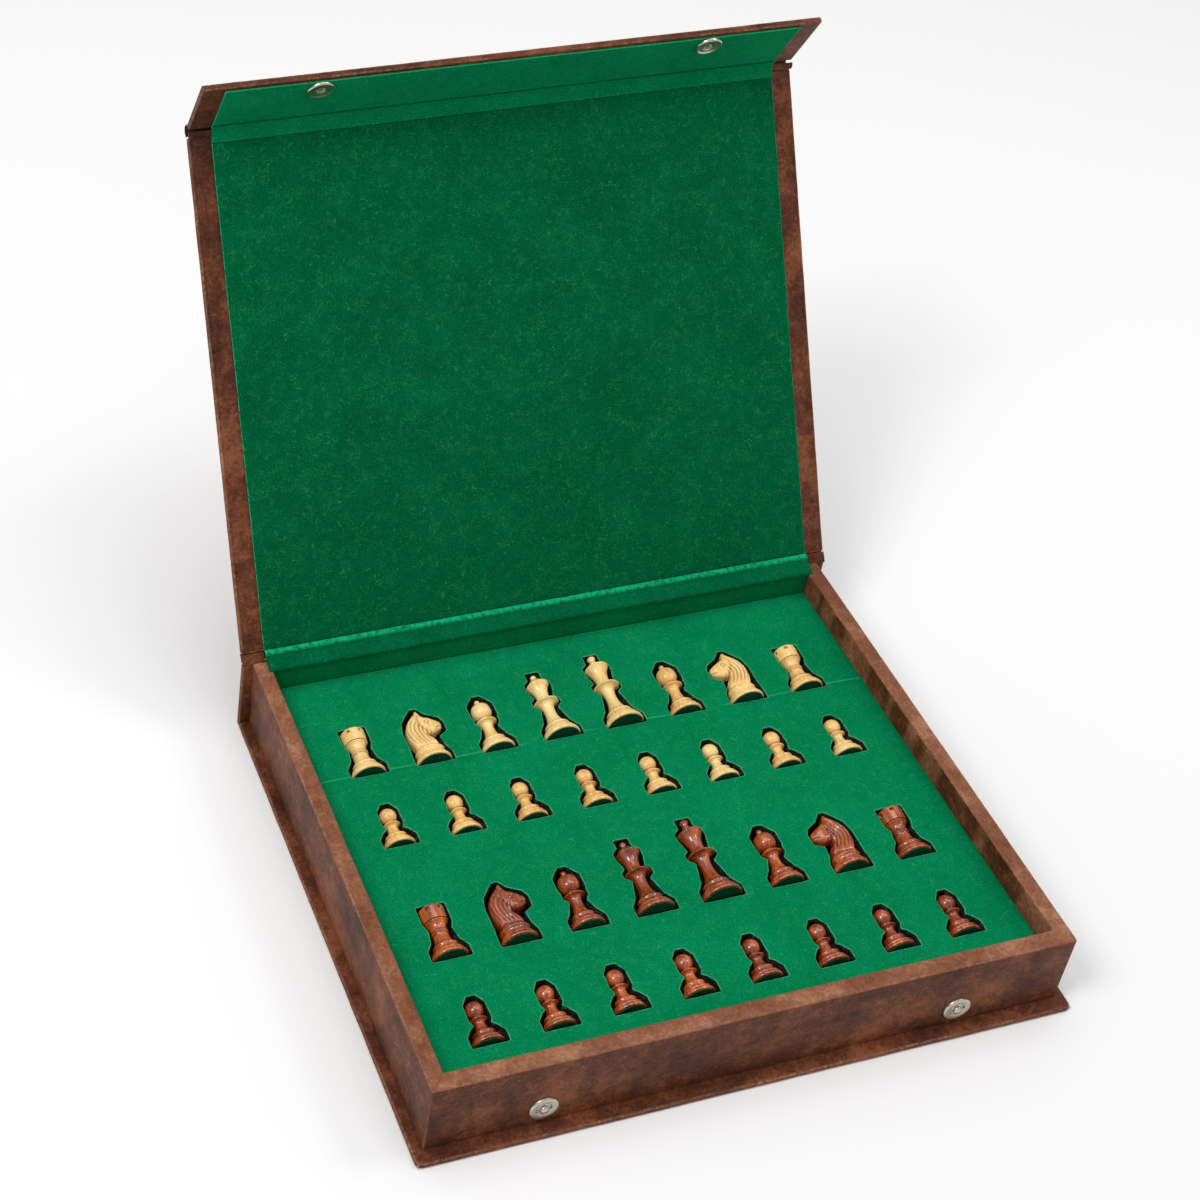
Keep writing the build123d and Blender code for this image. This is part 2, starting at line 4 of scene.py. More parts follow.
import bmesh
import bpy
from mathutils import Matrix, Vector, noise
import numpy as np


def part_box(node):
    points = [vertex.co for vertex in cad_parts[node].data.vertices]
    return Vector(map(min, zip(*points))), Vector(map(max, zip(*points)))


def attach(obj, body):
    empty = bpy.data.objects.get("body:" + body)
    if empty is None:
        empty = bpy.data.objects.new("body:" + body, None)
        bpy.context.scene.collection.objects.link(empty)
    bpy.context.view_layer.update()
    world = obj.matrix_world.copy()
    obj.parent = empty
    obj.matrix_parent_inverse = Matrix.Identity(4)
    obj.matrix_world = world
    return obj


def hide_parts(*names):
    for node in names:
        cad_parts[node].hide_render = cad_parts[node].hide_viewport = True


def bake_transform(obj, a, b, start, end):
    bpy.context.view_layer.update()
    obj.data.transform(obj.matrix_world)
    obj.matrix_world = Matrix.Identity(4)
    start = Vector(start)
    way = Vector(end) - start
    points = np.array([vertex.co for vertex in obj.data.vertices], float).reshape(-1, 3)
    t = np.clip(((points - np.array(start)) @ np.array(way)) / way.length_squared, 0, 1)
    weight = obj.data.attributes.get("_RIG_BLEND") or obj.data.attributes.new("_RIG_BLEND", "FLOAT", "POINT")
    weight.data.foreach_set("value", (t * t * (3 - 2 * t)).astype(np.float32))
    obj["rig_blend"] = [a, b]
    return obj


# A travel chess set in a book-style leatherette coffer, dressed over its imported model. Metres, +Z up, +Y
# from the tray's front to the spine. Lid and flap pieces are shaped as in the closed box and then turned
# open with the two matrices worked out below.

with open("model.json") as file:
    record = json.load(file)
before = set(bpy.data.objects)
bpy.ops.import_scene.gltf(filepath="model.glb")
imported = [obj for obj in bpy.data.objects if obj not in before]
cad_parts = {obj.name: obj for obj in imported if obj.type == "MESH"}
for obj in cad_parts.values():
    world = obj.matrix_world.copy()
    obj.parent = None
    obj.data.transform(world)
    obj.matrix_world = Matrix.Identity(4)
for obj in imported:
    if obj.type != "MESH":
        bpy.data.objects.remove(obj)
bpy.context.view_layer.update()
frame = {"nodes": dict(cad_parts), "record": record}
mm = 0.001


def shown_box(node):
    low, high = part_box(node)
    return Vector(low), Vector(high)


# Joints, and where a closed lid's or flap's point goes in the open box
joints = {joint["name"]: joint for joint in frame["record"]["behaviour"]["joints"]}
hinge_at = Vector(joints["lid_hinge"]["pos_m"])
hinge_axis = Vector(joints["lid_hinge"]["axis"])
fold_at = Vector(joints["flap_fold"]["pos_m"])
lid_opening = -radians(joints["lid_hinge"]["range_deg"][0])
flap_unfolding = -radians(joints["flap_fold"]["range_deg"][0])


def turned_about(point, angle):
    """A turn about an axis parallel to the hinge's, through a point."""
    return Matrix.Translation(point) @ Matrix.Rotation(angle, 4, hinge_axis) @ Matrix.Translation(-point)


open_lid = turned_about(hinge_at, lid_opening)
fold_closed = open_lid.inverted() @ fold_at
open_flap = open_lid @ turned_about(fold_closed, flap_unfolding)


def closed_box(node, opened):
    """A lid or flap node's lowest and highest corner in the closed box."""
    back = opened.inverted()
    points = [back @ vertex.co for vertex in frame["nodes"][node].data.vertices]
    low = Vector([min(point[i] for point in points) for i in range(3)])
    high = Vector([max(point[i] for point in points) for i in range(3)])
    return low, high


# Sizes read from the frame
tray_low, tray_high = shown_box("tray_wrap")
bottom_low, bottom_high = shown_box("bottom_wrap")
spine_low, spine_high = shown_box("spine_wrap")
insert_low, insert_high = shown_box("insert_velvet")
facing_low, facing_high = shown_box("back_wall_velvet")
lid_low, lid_high = closed_box("lid_wrap", open_lid)
lid_velvet_low, lid_velvet_high = closed_box("lid_velvet", open_lid)
flap_low, flap_high = closed_box("flap_wrap", open_flap)
flap_velvet_low, flap_velvet_high = closed_box("flap_velvet", open_flap)
skin = 0.8 * mm


class Value:
    """A shader socket that adds its Math nodes when it is used in an expression."""

    def __init__(self, tree, socket):
        self.tree = tree
        self.socket = socket

    def math(self, operation, *operands):
        node = self.tree.nodes.new("ShaderNodeMath")
        node.operation = operation
        for slot, operand in zip(node.inputs, operands):
            if isinstance(operand, Value):
                self.tree.links.new(operand.socket, slot)
            else:
                slot.default_value = operand
        return Value(self.tree, node.outputs[0])

    def __add__(self, other):
        return self.math("ADD", self, other)

    def __sub__(self, other):
        return self.math("SUBTRACT", self, other)

    def __rsub__(self, other):
        return self.math("SUBTRACT", other, self)

    def __mul__(self, other):
        return self.math("MULTIPLY", self, other)

    def __truediv__(self, other):
        return self.math("DIVIDE", self, other)

    def __abs__(self):
        return self.math("ABSOLUTE", self)

    def under(self, limit):
        """1 where the value is under the limit, else 0."""
        return self.math("LESS_THAN", self, limit)

    def over(self, limit):
        return self.math("GREATER_THAN", self, limit)

    def least(self, other):
        return self.math("MINIMUM", self, other)

    def most(self, other):
        return self.math("MAXIMUM", self, other)

    def between(self, low, high):
        """0 at low and below, 1 at high and above, and straight in between."""
        node = self.tree.nodes.new("ShaderNodeMapRange")
        for slot, value in (("From Min", low), ("From Max", high)):
            node.inputs[slot].default_value = value
        self.tree.links.new(self.socket, node.inputs["Value"])
        return Value(self.tree, node.outputs[0])

    __radd__ = __add__
    __rmul__ = __mul__


class Finish:
    """A procedural material: a Principled shader, Object coordinates, and one method for any node."""

    def __init__(self, name, **sockets):
        self.material = bpy.data.materials.new(name)
        self.material.use_nodes = True
        self.tree = self.material.node_tree
        self.shader = self.tree.nodes["Principled BSDF"]
        for slot, value in sockets.items():
            self.socket(slot).default_value = value
        self.place = self.node("ShaderNodeTexCoord", output="Object")
        parts = self.tree.nodes.new("ShaderNodeSeparateXYZ")
        self.tree.links.new(self.place.socket, parts.inputs[0])
        self.y = Value(self.tree, parts.outputs["Y"])

    def node(self, kind, settings=None, inputs=None, output=0):
        """Adds a node: its settings first, then the values or links of its sockets."""
        node = self.tree.nodes.new(kind)
        for key, value in (settings or {}).items():
            if key == "stops":
                ramp = node.color_ramp.elements
                ramp[0].position, ramp[1].position = value[0][0], value[-1][0]
                for position, _ in value[1:-1]:
                    ramp.new(position)
                for element, (_, colour) in zip(ramp, value):
                    element.color = (*colour, 1)
            else:
                setattr(node, key, value)
        for slot, value in (inputs or {}).items():
            if isinstance(value, Value):
                self.tree.links.new(value.socket, node.inputs[slot])
            else:
                node.inputs[slot].default_value = value
        return Value(self.tree, node.outputs[output])

    def stretched(self, scale, turn=(0, 0, 0)):
        """Object coordinates, turned and then stretched by three scales."""
        return self.node("ShaderNodeMapping", {"vector_type": "TEXTURE"},
                         {"Vector": self.place, "Rotation": turn, "Scale": [1 / s for s in scale]})

    def noise(self, scale, detail=3.0, roughness=0.55, distortion=0.0, place=None):
        return self.node("ShaderNodeTexNoise", None,
                         {"Vector": place or self.place, "Scale": scale, "Detail": detail,
                          "Roughness": roughness, "Distortion": distortion})

    def cells(self, scale, feature="F1", output=0):
        return self.node("ShaderNodeTexVoronoi", {"feature": feature},
                         {"Vector": self.place, "Scale": scale}, output)

    def attribute(self, name):
        """A float attribute that the shaping code has written to the mesh."""
        return self.node("ShaderNodeAttribute", {"attribute_name": name}, output=2)

    def blend(self, factor, first, second):
        """Mixes two colours, each a triple or a link."""
        mix = self.tree.nodes.new("ShaderNodeMix")
        mix.data_type = "RGBA"
        for slot, value in ((mix.inputs[0], factor), (mix.inputs[6], first), (mix.inputs[7], second)):
            if isinstance(value, Value):
                self.tree.links.new(value.socket, slot)
            elif isinstance(value, tuple):
                slot.default_value = (*value, 1)
            else:
                slot.default_value = value
        return Value(self.tree, mix.outputs[2])

    def ramp(self, factor, *stops):
        return self.node("ShaderNodeValToRGB", {"stops": stops}, {"Fac": factor})

    def bump(self, height, depth, strength=1.0):
        """A Bump node for a height from 0 to 1 that stands this deep."""
        return self.node("ShaderNodeBump", None, {"Height": height, "Distance": depth, "Strength": strength})

    def use(self, **links):
        for slot, value in links.items():
            self.tree.links.new(value.socket, self.socket(slot))
        return self.material

    def socket(self, name):
        return self.shader.inputs[name.replace("_", " ").title().replace("Ior", "IOR")]


def paint(red, green, blue):
    """A colour as it is read from the screen, made linear."""
    return tuple((value / 255 / 12.92) if value < 10.3 else ((value / 255 + 0.055) / 1.055) ** 2.4
                 for value in (red, green, blue))


# Colours taken from the photograph
leather_dark = paint(58, 28, 17)
leather_mid = paint(92, 48, 28)
leather_light = paint(134, 78, 50)
leather_lit_rim = paint(158, 102, 74)
leather_worn_and_lit = paint(190, 140, 108)
velvet_deep = paint(0, 74, 43)
velvet_plain = paint(0, 90, 53)
velvet_full = paint(0, 106, 64)
velvet_bright = paint(0, 122, 75)
velvet_lit = paint(4, 138, 88)
velvet_lint = paint(70, 186, 132)
velvet_web_highlight = paint(20, 168, 112)
cut_thread = paint(84, 180, 134)
foam_black = paint(20, 20, 22)
boxwood_pale = paint(255, 226, 158)
boxwood_mid = paint(248, 202, 124)
boxwood_brown = paint(222, 158, 78)
boxwood_crease_shade = paint(132, 70, 22)
lacquer_dark = paint(84, 26, 8)
lacquer_red = paint(158, 66, 22)
lacquer_light = paint(224, 118, 44)
lacquer_crease_shade = paint(18, 6, 3)
felt_green = paint(14, 66, 44)
nickel_grey = paint(206, 200, 186)
brass_yellow = paint(196, 148, 72)


def leatherette(name):
    """Grained brown leatherette, paler along its rounded edges from wear with a painted highlight, and lighter
    with painted top light where the tone attribute marks the rim top.
    """
    finish = Finish(name, specular_ior_level=0.2)
    clouds = finish.noise(22, 4, 0.6)
    mottle = finish.noise(130, 4, 0.65, 0.6)
    specks = finish.noise(520, 3, 0.6)
    tone = clouds * 0.5 + mottle * 0.28 + specks * 0.22
    colour = finish.ramp(tone, (0.4, leather_dark), (0.5, leather_mid), (0.61, leather_light))
    grain = finish.cells(560, "SMOOTH_F1")
    fibre = finish.noise(310, 4, 0.65, 1.2)
    folds = finish.noise(120, 5, 0.7, 1.6)
    height = grain * 0.35 + fibre * 0.45 + folds * 0.35
    scratch_place = finish.stretched((18, 420, 420), (0.4, 0.2, 0.6))
    scratch = finish.noise(1.0, 2, 0.4, 0.6, scratch_place).between(0.66, 0.7)
    edge = finish.attribute("edge")
    worn_lit_jags = finish.noise(330, 2, 0.7).between(0.42, 0.62) * edge * finish.noise(34, 2).between(0.35, 0.6)
    colour = finish.blend(scratch * 0.1, colour, leather_worn_and_lit)
    # Painted top light: the rim top, lit from above, is blended toward lighter copper.
    lit_rim_top = finish.attribute("tone")
    rim_top_light_colour = finish.ramp(tone, (0.4, leather_light), (0.5, leather_lit_rim), (0.61, leather_worn_and_lit))
    colour = finish.blend(lit_rim_top * 0.6, colour, rim_top_light_colour)
    # Paler rounded edges: wear, with a painted highlight in jagged ticks along them.
    colour = finish.blend(edge * 0.35, colour, leather_light)
    colour = finish.blend(worn_lit_jags * 0.45, colour, leather_worn_and_lit)
    return finish.use(base_color=colour, roughness=fibre * 0.2 + 0.42,
                      normal=finish.bump(height, 0.0005, 0.9))


def velvet(name, deep, plain, lit, edge_light=velvet_lint, painted_crease_at=None):
    """Short-pile velvet: an even nap, curly lint fibres, a few specks, pale cut edges (on the web a painted
    highlight along its ridge), and, if its y is given, a crease across the box painted as a pale highlight line
    over painted shade."""
    finish = Finish(name, roughness=0.95, sheen_weight=0.05, sheen_roughness=0.4, specular_ior_level=0.04)
    finish.shader.inputs["Sheen Tint"].default_value = (*velvet_lint, 1)
    nap = finish.noise(26, 2, 0.5, 0.4)
    pile = finish.noise(900, 3, 0.7)
    colour = finish.ramp(nap * 0.22 + pile * 0.78, (0.36, deep), (0.5, plain), (0.66, lit))
    curls = finish.noise(190, 1, 0.5, 1.6)
    strays = finish.noise(420, 1, 0.5, 1.2)
    fibre = abs(curls - 0.5).under(0.012) * finish.noise(160, 1).over(0.5)
    fibre = fibre + abs(strays - 0.5).under(0.014) * finish.noise(110, 1).over(0.55)
    colour = finish.blend(fibre.least(1) * 0.2, colour, edge_light)
    dots = finish.cells(150)
    chosen = finish.node("ShaderNodeSeparateColor", None, {"Color": finish.cells(150, output=1)})
    lint = dots.under(0.045) * chosen.over(0.86)
    colour = finish.blend(lint * 0.5, colour, edge_light)
    edge = finish.attribute("edge")
    # Pale frayed cut edges; on the web the same mark carries a painted highlight.
    frayed_and_lit_edge = edge * finish.noise(420, 2, 0.7).between(0.25, 0.6)
    colour = finish.blend(frayed_and_lit_edge * 0.75, colour, edge_light)
    threads = finish.attribute("groove") * finish.noise(260, 2, 0.7).between(0.3, 0.55)
    colour = finish.blend(threads * 0.8, colour, cut_thread)
    if painted_crease_at:
        # Painted crease: a pale highlight line with a band of painted shade just below it.
        wander = finish.noise(14, 2) * 0.006
        off = finish.y + wander - painted_crease_at - 0.003
        broken = finish.noise(24, 1).between(0.36, 0.5)
        colour = finish.blend((1 - abs(off) / 0.0009).most(0) * broken * 0.4, colour, edge_light)
        colour = finish.blend((1 - abs(off + 0.0028) / 0.003).most(0) * broken * 0.3, colour, deep)
    return finish.use(base_color=colour, normal=finish.bump(pile * 0.7 + nap * 0.3, 0.0004, 0.5))


def foam(name):
    """Black foam, torn rough where the cavities are cut, its pores flecked grey with pale fibre specks and
    painted glints.
    """
    finish = Finish(name, roughness=0.75, specular_ior_level=0.35)
    pores = finish.noise(620, 5, 0.75, 0.8)
    torn = finish.cells(420)
    # Grey top of the ramp: pale fibre specks and painted glints on the pores.
    colour = finish.ramp(pores, (0.35, paint(8, 8, 9)), (0.54, foam_black), (0.68, paint(108, 102, 98)))
    return finish.use(base_color=colour, normal=finish.bump(pores * 0.7 + torn * 0.3, 0.0012, 1.0))


def turned_wood(name, dark, mid, pale, cut, gloss, coat):
    """Turned wood with its grain along the lying pieces' length, a tone of its own for each piece, and painted
    shade in the creases, slots and carved lines that the groove attribute marks.
    """
    finish = Finish(name, roughness=gloss, coat_weight=coat, coat_roughness=0.08)
    tone = finish.attribute("tone")
    grain = finish.noise(1.0, 4, 0.6, 0.3, finish.stretched((520, 60, 520), (0.05, 0, 0.03)))
    figure = finish.noise(1.0, 3, 0.5, 0.8, finish.stretched((120, 26, 120)))
    shade = grain * 0.45 + figure * 0.4 + tone * 0.2
    colour = finish.ramp(shade, (0.26, dark), (0.42, mid), (0.58, pale))
    # Painted shade in creases, slots and carved lines.
    colour = finish.blend(finish.attribute("groove") * 0.75, colour, cut)
    return finish.use(base_color=colour, normal=finish.bump(grain, 0.00006, 0.4))


def felt(name):
    finish = Finish(name, roughness=0.95, specular_ior_level=0.02)
    fluff = finish.noise(900, 4, 0.7)
    colour = finish.ramp(fluff, (0.3, paint(4, 46, 28)), (0.55, felt_green), (0.75, paint(26, 112, 74)))
    return finish.use(base_color=colour, normal=finish.bump(fluff, 0.0003, 0.8))


def metal(name, colour, rough):
    """Plated metal with faint handling marks."""
    finish = Finish(name, metallic=1.0)
    marks = finish.noise(260, 4, 0.6)
    hairline = finish.noise(1.0, 2, 0.5, 0.2, finish.stretched((900, 60, 900), (0.3, 0.5, 0.2)))
    tint = finish.blend(marks * 0.25, colour, tuple(0.6 * value for value in colour))
    return finish.use(base_color=tint, roughness=hairline * 0.12 + rough,
                      normal=finish.bump(hairline, 0.00003, 0.4))


def core_stock(name, dark, pale, scale):
    """Unfinished board, seen only at its edges if anywhere."""
    finish = Finish(name, roughness=0.85)
    chips = finish.noise(scale, 5, 0.7)
    colour = finish.ramp(chips, (0.35, dark), (0.65, pale))
    return finish.use(base_color=colour, normal=finish.bump(chips, 0.0002, 0.6))


# Meshes
def with_layers(bm):
    """Gives a mesh the attributes that the finishes read, where it lacks them."""
    for layer in ("edge", "tone", "groove"):
        if layer not in bm.verts.layers.float:
            bm.verts.layers.float.new(layer)
    return bm


def new_mesh():
    return with_layers(bmesh.new())


def verts_of(geom):
    return [item for item in geom if isinstance(item, bmesh.types.BMVert)]


def sharp_edges(bm, degrees):
    return [edge for edge in bm.edges if edge.calc_face_angle(0) > radians(degrees)]


def cut_along(bm, point, normal):
    """Cuts a mesh where a plane meets it and leaves both halves joined."""
    geom = bm.verts[:] + bm.edges[:] + bm.faces[:]
    bmesh.ops.bisect_plane(bm, geom=geom, dist=1e-7, plane_co=point, plane_no=normal)


def add_box(bm, low, high):
    made = bmesh.ops.create_cube(bm, size=1)["verts"]
    bmesh.ops.scale(bm, vec=high - low, verts=made)
    bmesh.ops.translate(bm, vec=(low + high) / 2, verts=made)
    return made


def round_edges(bm, edges, radius, segments=3):
    """Rounds edges and marks the middle of each rounding, where wear with a painted highlight and cut threads
    show.
    """
    made = bmesh.ops.bevel(bm, geom=edges, offset=radius, offset_type="OFFSET", segments=segments,
                           profile=0.5, affect="EDGES", material=-1, clamp_overlap=True)
    band = set(made["faces"])
    mark_layer = bm.verts.layers.float["edge"]
    for vertex in {vertex for face in band for vertex in face.verts}:
        if all(face in band for face in vertex.link_faces):
            vertex[mark_layer] = 1


def cross_cut(bm, axis, step):
    """Cuts a mesh across one axis at even steps, so that it can follow a soft surface."""
    places = [vertex.co[axis] for vertex in bm.verts]
    low, high = min(places), max(places)
    count = int((high - low) / step)
    normal = Vector([1.0 if i == axis else 0.0 for i in range(3)])
    for i in range(1, count):
        cut_along(bm, normal * (low + (high - low) * i / count), normal)


def ease(bm, amount, scale, seed=0.0):
    """Moves every vertex a little by a soft noise, as hand-wrapped cloth and leather lie."""
    shift = Vector((seed, 2 * seed, 3 * seed))
    for vertex in bm.verts:
        vertex.co += noise.noise_vector(vertex.co * scale + shift) * amount


def linked(name, data):
    """A new object in the scene that holds a mesh, a lamp or a camera."""
    made = bpy.data.objects.new(name, data)
    bpy.context.collection.objects.link(made)
    return made


def piece(name, bm, body, finish, replaced=(), place=None, sharp=38):
    """Makes a mesh a piece of the set: turned to its place, shaded, dressed and riding on its body, if it
    has one body."""
    if place:
        bmesh.ops.transform(bm, matrix=place, verts=bm.verts)
    for edge in bm.edges:
        edge.smooth = edge.calc_face_angle(0) < radians(sharp)
    for face in bm.faces:
        face.smooth = True
    mesh = bpy.data.meshes.new(name)
    bm.to_mesh(mesh)
    bm.free()
    mesh.materials.append(finish)
    made = linked(name, mesh)
    if body:
        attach(made, body)
    if replaced:
        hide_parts(*replaced)
    return made


def edges_at(bm, test):
    """The sharp edges whose two ends both pass a test of their place."""
    return [edge for edge in sharp_edges(bm, 30) if all(test(vertex.co) for vertex in edge.verts)]


def near(value, target, slack=1e-5):
    return abs(value - target) < slack


def soft_slab(low, high, radius, segments=3, step=5 * mm, wave=0.12 * mm, scale=55, seed=0.0, corners=0.0):
    """A wrapped board or a cloth panel: rounded edges, cut across so that its faces can wander a little."""
    bm = new_mesh()
    add_box(bm, low, high)
    if corners:
        front = edges_at(bm, lambda co: near(co.y, low.y))
        upright = [edge for edge in front if abs(edge.verts[0].co.z - edge.verts[1].co.z) > 1e-6]
        round_edges(bm, upright, corners, 5)
    round_edges(bm, sharp_edges(bm, 40), radius, segments)
    cross_cut(bm, 0, step)
    cross_cut(bm, 1, step)
    ease(bm, wave, scale, seed)
    return bm


def groove(bm, point, normal, width, depth, inside):
    """A narrow furrow where a plane cuts the mesh, kept to the vertices that pass a test of their place."""
    normal = normal.normalized()
    mark_layer = bm.verts.layers.float["groove"]
    for offset in (-width, 0, width):
        cut_along(bm, point + normal * offset, normal)
    bm.normal_update()
    for vertex in bm.verts:
        if abs((vertex.co - point).dot(normal)) < 1e-6 and inside(vertex.co):
            vertex.co -= vertex.normal * depth
            vertex[mark_layer] = 1


def thicken(bm, thickness):
    bmesh.ops.recalc_face_normals(bm, faces=bm.faces)
    bmesh.ops.solidify(bm, geom=bm.faces[:], thickness=thickness)


def on_rim(corner):
    """A test of whether a point is on the rim's flat top near a front corner."""
    return lambda co: (1.5 * mm < abs(co.x - corner.x) < rim_sides - 1.5 * mm and co.y < rim_sides - 1.5 * mm
                       and co.z > tray_high.z - 0.5 * mm)


# Tray: one skin over the walls, turned over the rims and down inside
leather = leatherette("leatherette")
rim_sides = 10.5 * mm
back_rim = 8 * mm
front_left = Vector((tray_low.x, tray_low.y, 0))
front_right = Vector((tray_high.x, tray_low.y, 0))

bm = new_mesh()
add_box(bm, tray_low, tray_high)
bm.normal_update()
bmesh.ops.delete(bm, geom=[face for face in bm.faces if face.normal.z < -0.9], context="FACES_ONLY")
top = [face for face in bm.faces if face.normal.z > 0.9]
bmesh.ops.inset_region(bm, faces=top, thickness=rim_sides, use_even_offset=True)
for vertex in top[0].verts:
    if vertex.co.y > tray_high.y / 2:
        vertex.co.y = tray_high.y - back_rim
sunk = bmesh.ops.extrude_face_region(bm, geom=top)["geom"]
bmesh.ops.delete(bm, geom=top, context="FACES_ONLY")
for vertex in verts_of(sunk):
    vertex.co.z = tray_low.z
inner_floor = [item for item in sunk if isinstance(item, bmesh.types.BMFace)]
bmesh.ops.delete(bm, geom=inner_floor, context="FACES_ONLY")
bm.normal_update()
round_edges(bm, edges_at(bm, lambda co: near(co.x, tray_low.x) or near(co.x, tray_high.x)), 1.2 * mm, 4)
round_edges(bm, sharp_edges(bm, 40), 1.0 * mm, 3)
cross_cut(bm, 0, 5 * mm)
cross_cut(bm, 1, 5 * mm)
ease(bm, 0.14 * mm, 60)
ease(bm, 0.06 * mm, 240, 3)
# Painted top light: the rim top is marked to render lighter, where the light from above falls on it.
lit_rim_top = bm.verts.layers.float["tone"]
for vertex in bm.verts:
    if vertex.co.z > tray_high.z - 1.0 * mm:
        vertex[lit_rim_top] = 1
groove(bm, front_left, Vector((-1, 1, 0)), 0.45 * mm, 0.35 * mm, on_rim(front_left))
groove(bm, front_right, Vector((1, 0.82, 0)), 0.45 * mm, 0.35 * mm, on_rim(front_right))
thicken(bm, skin)
piece("tray_wrap_skin", bm, "case", leather, ["tray_wrap"])

# Bottom panel, its front corners rounded, and the spine panel
bm = soft_slab(bottom_low, bottom_high, 1.3 * mm, 4, 5 * mm, 0.16 * mm, 60, 5, 4 * mm)
piece("bottom_wrap_skin", bm, "case", leather, ["bottom_wrap"])
bm = soft_slab(spine_low, spine_high, 1.2 * mm, 3, 5 * mm, 0.12 * mm, 60, 7)
piece("spine_wrap_skin", bm, "case", leather, ["spine_wrap"])

# Insert: the velvet skin and the foam keep the model's die-cut outlines
insert_crease_y = 0.2365
green = velvet("velvet_green", velvet_full, velvet_bright, velvet_lit, velvet_lint, insert_crease_y)
# A darker copy of the same velvet for the lid: painted shade where the lid's velvet turns from the light.
shaded_green = velvet("velvet_deep_green", velvet_deep, velvet_plain, velvet_full)
black = foam("foam_black")


def copied(node):
    """A merged copy of a model node's mesh."""
    bm = bmesh.new()
    bm.from_mesh(frame["nodes"][node].data)
    bmesh.ops.remove_doubles(bm, verts=bm.verts, dist=1e-6)
    return with_layers(bm)


def flat_area(bm, low_z):
    """The area of the faces that look up, above a height."""
    bm.normal_update()
    return sum(face.calc_area() for face in bm.faces
               if face.normal.z > 0.9 and face.calc_center_median().z > low_z)


def in_the_cuts(co):
    """Whether a point of the insert is off its four outer sides."""
    return (insert_low.x + 1 * mm < co.x < insert_high.x - 1 * mm
            and insert_low.y + 1 * mm < co.y < insert_high.y - 1 * mm)


bm = copied("insert_velvet")
insert_area = flat_area(bm, insert_low.z)
top = [face for face in bm.faces if all(vertex.co.z > insert_high.z - 1e-5 for vertex in face.verts)]
bmesh.ops.inset_region(bm, faces=top, thickness=0.75 * mm, use_even_offset=True, use_boundary=True)
lips = {vertex for vertex in bm.verts if vertex.co.z > insert_high.z - 1e-5
        and any(edge.other_vert(vertex).co.z < insert_high.z - 0.3 * mm for edge in vertex.link_edges)}
threads = bm.verts.layers.float["groove"]
for vertex in bm.verts:
    cut_here = (insert_low.x + 1 * mm < vertex.co.x < insert_high.x - 1 * mm
                and vertex.co.y > insert_low.y + 1 * mm)
    if vertex in lips:
        vertex[threads] = 1.0 if cut_here else 0.0
        vertex.co.z -= 0.3 * mm
cross_cut(bm, 0, 7 * mm)
cross_cut(bm, 1, 7 * mm)
for vertex in bm.verts:
    vertex.co.z += noise.noise(vertex.co * 38) * 0.22 * mm
    if vertex[threads] > 0.5:
        vertex.co += noise.noise_vector(vertex.co * 430) * 0.16 * mm
insert_skin = piece("insert_velvet_skin", bm, "case", green, ["insert_velvet"])

bm = copied("foam_insert")
for longest, cuts in ((5 * mm, 5), (2.5 * mm, 3), (1.4 * mm, 1)):
    walls = [edge for edge in bm.edges if edge.calc_face_angle(0) < pi and edge.calc_length() > longest
             and all(near(face.normal.z, 0, 0.1) for face in edge.link_faces)
             and in_the_cuts(edge.verts[0].co)]
    bmesh.ops.subdivide_edges(bm, edges=walls, cuts=cuts, use_grid_fill=True)
bmesh.ops.triangulate(bm, faces=[face for face in bm.faces if len(face.verts) > 4])
for vertex in bm.verts:
    if in_the_cuts(vertex.co):
        torn = noise.noise_vector(vertex.co * 520)
        vertex.co += Vector((torn.x, torn.y, 0)) * 0.55 * mm
piece("insert_foam", bm, "case", black, ["foam_insert"])

base_low, base_high = shown_box("foam_base")
bm = soft_slab(base_low, base_high, 0.8 * mm, 2, 4 * mm, 0.2 * mm, 400, 11)
piece("foam_slab", bm, "case", black, ["foam_base"])

# Facing on the back wall: up its inner face and back over its top
facing_thick = 1 * mm
facing_bend = facing_high.z - facing_thick
bm = new_mesh()
add_box(bm, facing_low, Vector((facing_high.x, facing_low.y + facing_thick, facing_high.z)))
cut_along(bm, Vector((0, 0, facing_bend)), Vector((0, 0, 1)))
bm.normal_update()
lip = [face for face in bm.faces if face.normal.y > 0.9 and face.calc_center_median().z > facing_bend]
grown = bmesh.ops.extrude_face_region(bm, geom=lip)["geom"]
bmesh.ops.delete(bm, geom=lip, context="FACES_ONLY")
for vertex in verts_of(grown):
    vertex.co.y = facing_high.y
along = [edge for edge in sharp_edges(bm, 40) if abs(edge.verts[0].co.x - edge.verts[1].co.x) > 1 * mm]
round_edges(bm, along, 0.45 * mm, 3)
cross_cut(bm, 0, 5 * mm)
ease(bm, 0.12 * mm, 60, 13)
# The upright facing takes the brighter copy of the velvet, painted light against the shade it stands in.
facing = piece("back_facing_skin", bm, "case", green, ["back_wall_velvet"])


# Lid and flap: wrapped boards and velvet panels, shaped closed and turned open
def panel_velvet(low, high, wave, seed):
    return soft_slab(low, high, 0.5 * mm, 3, 6 * mm, wave, 45, seed)


def border_ridge(bm, low, high, face_z):
    """A furrow along both side borders, where the turned-in skin ends over its filler."""
    for side in (low.x + 2.4 * mm, high.x - 2.4 * mm):
        groove(bm, Vector((side, 0, 0)), Vector((1, 0, 0)), 0.5 * mm, 0.3 * mm,
               lambda co: near(co.z, face_z, 0.5 * mm))


bm = soft_slab(lid_low, lid_high, 1.4 * mm, 4, 5 * mm, 0.16 * mm, 70, 17)
border_ridge(bm, lid_low, lid_high, lid_low.z)
piece("lid_wrap_skin", bm, "lid", leather, ["lid_wrap"], open_lid)

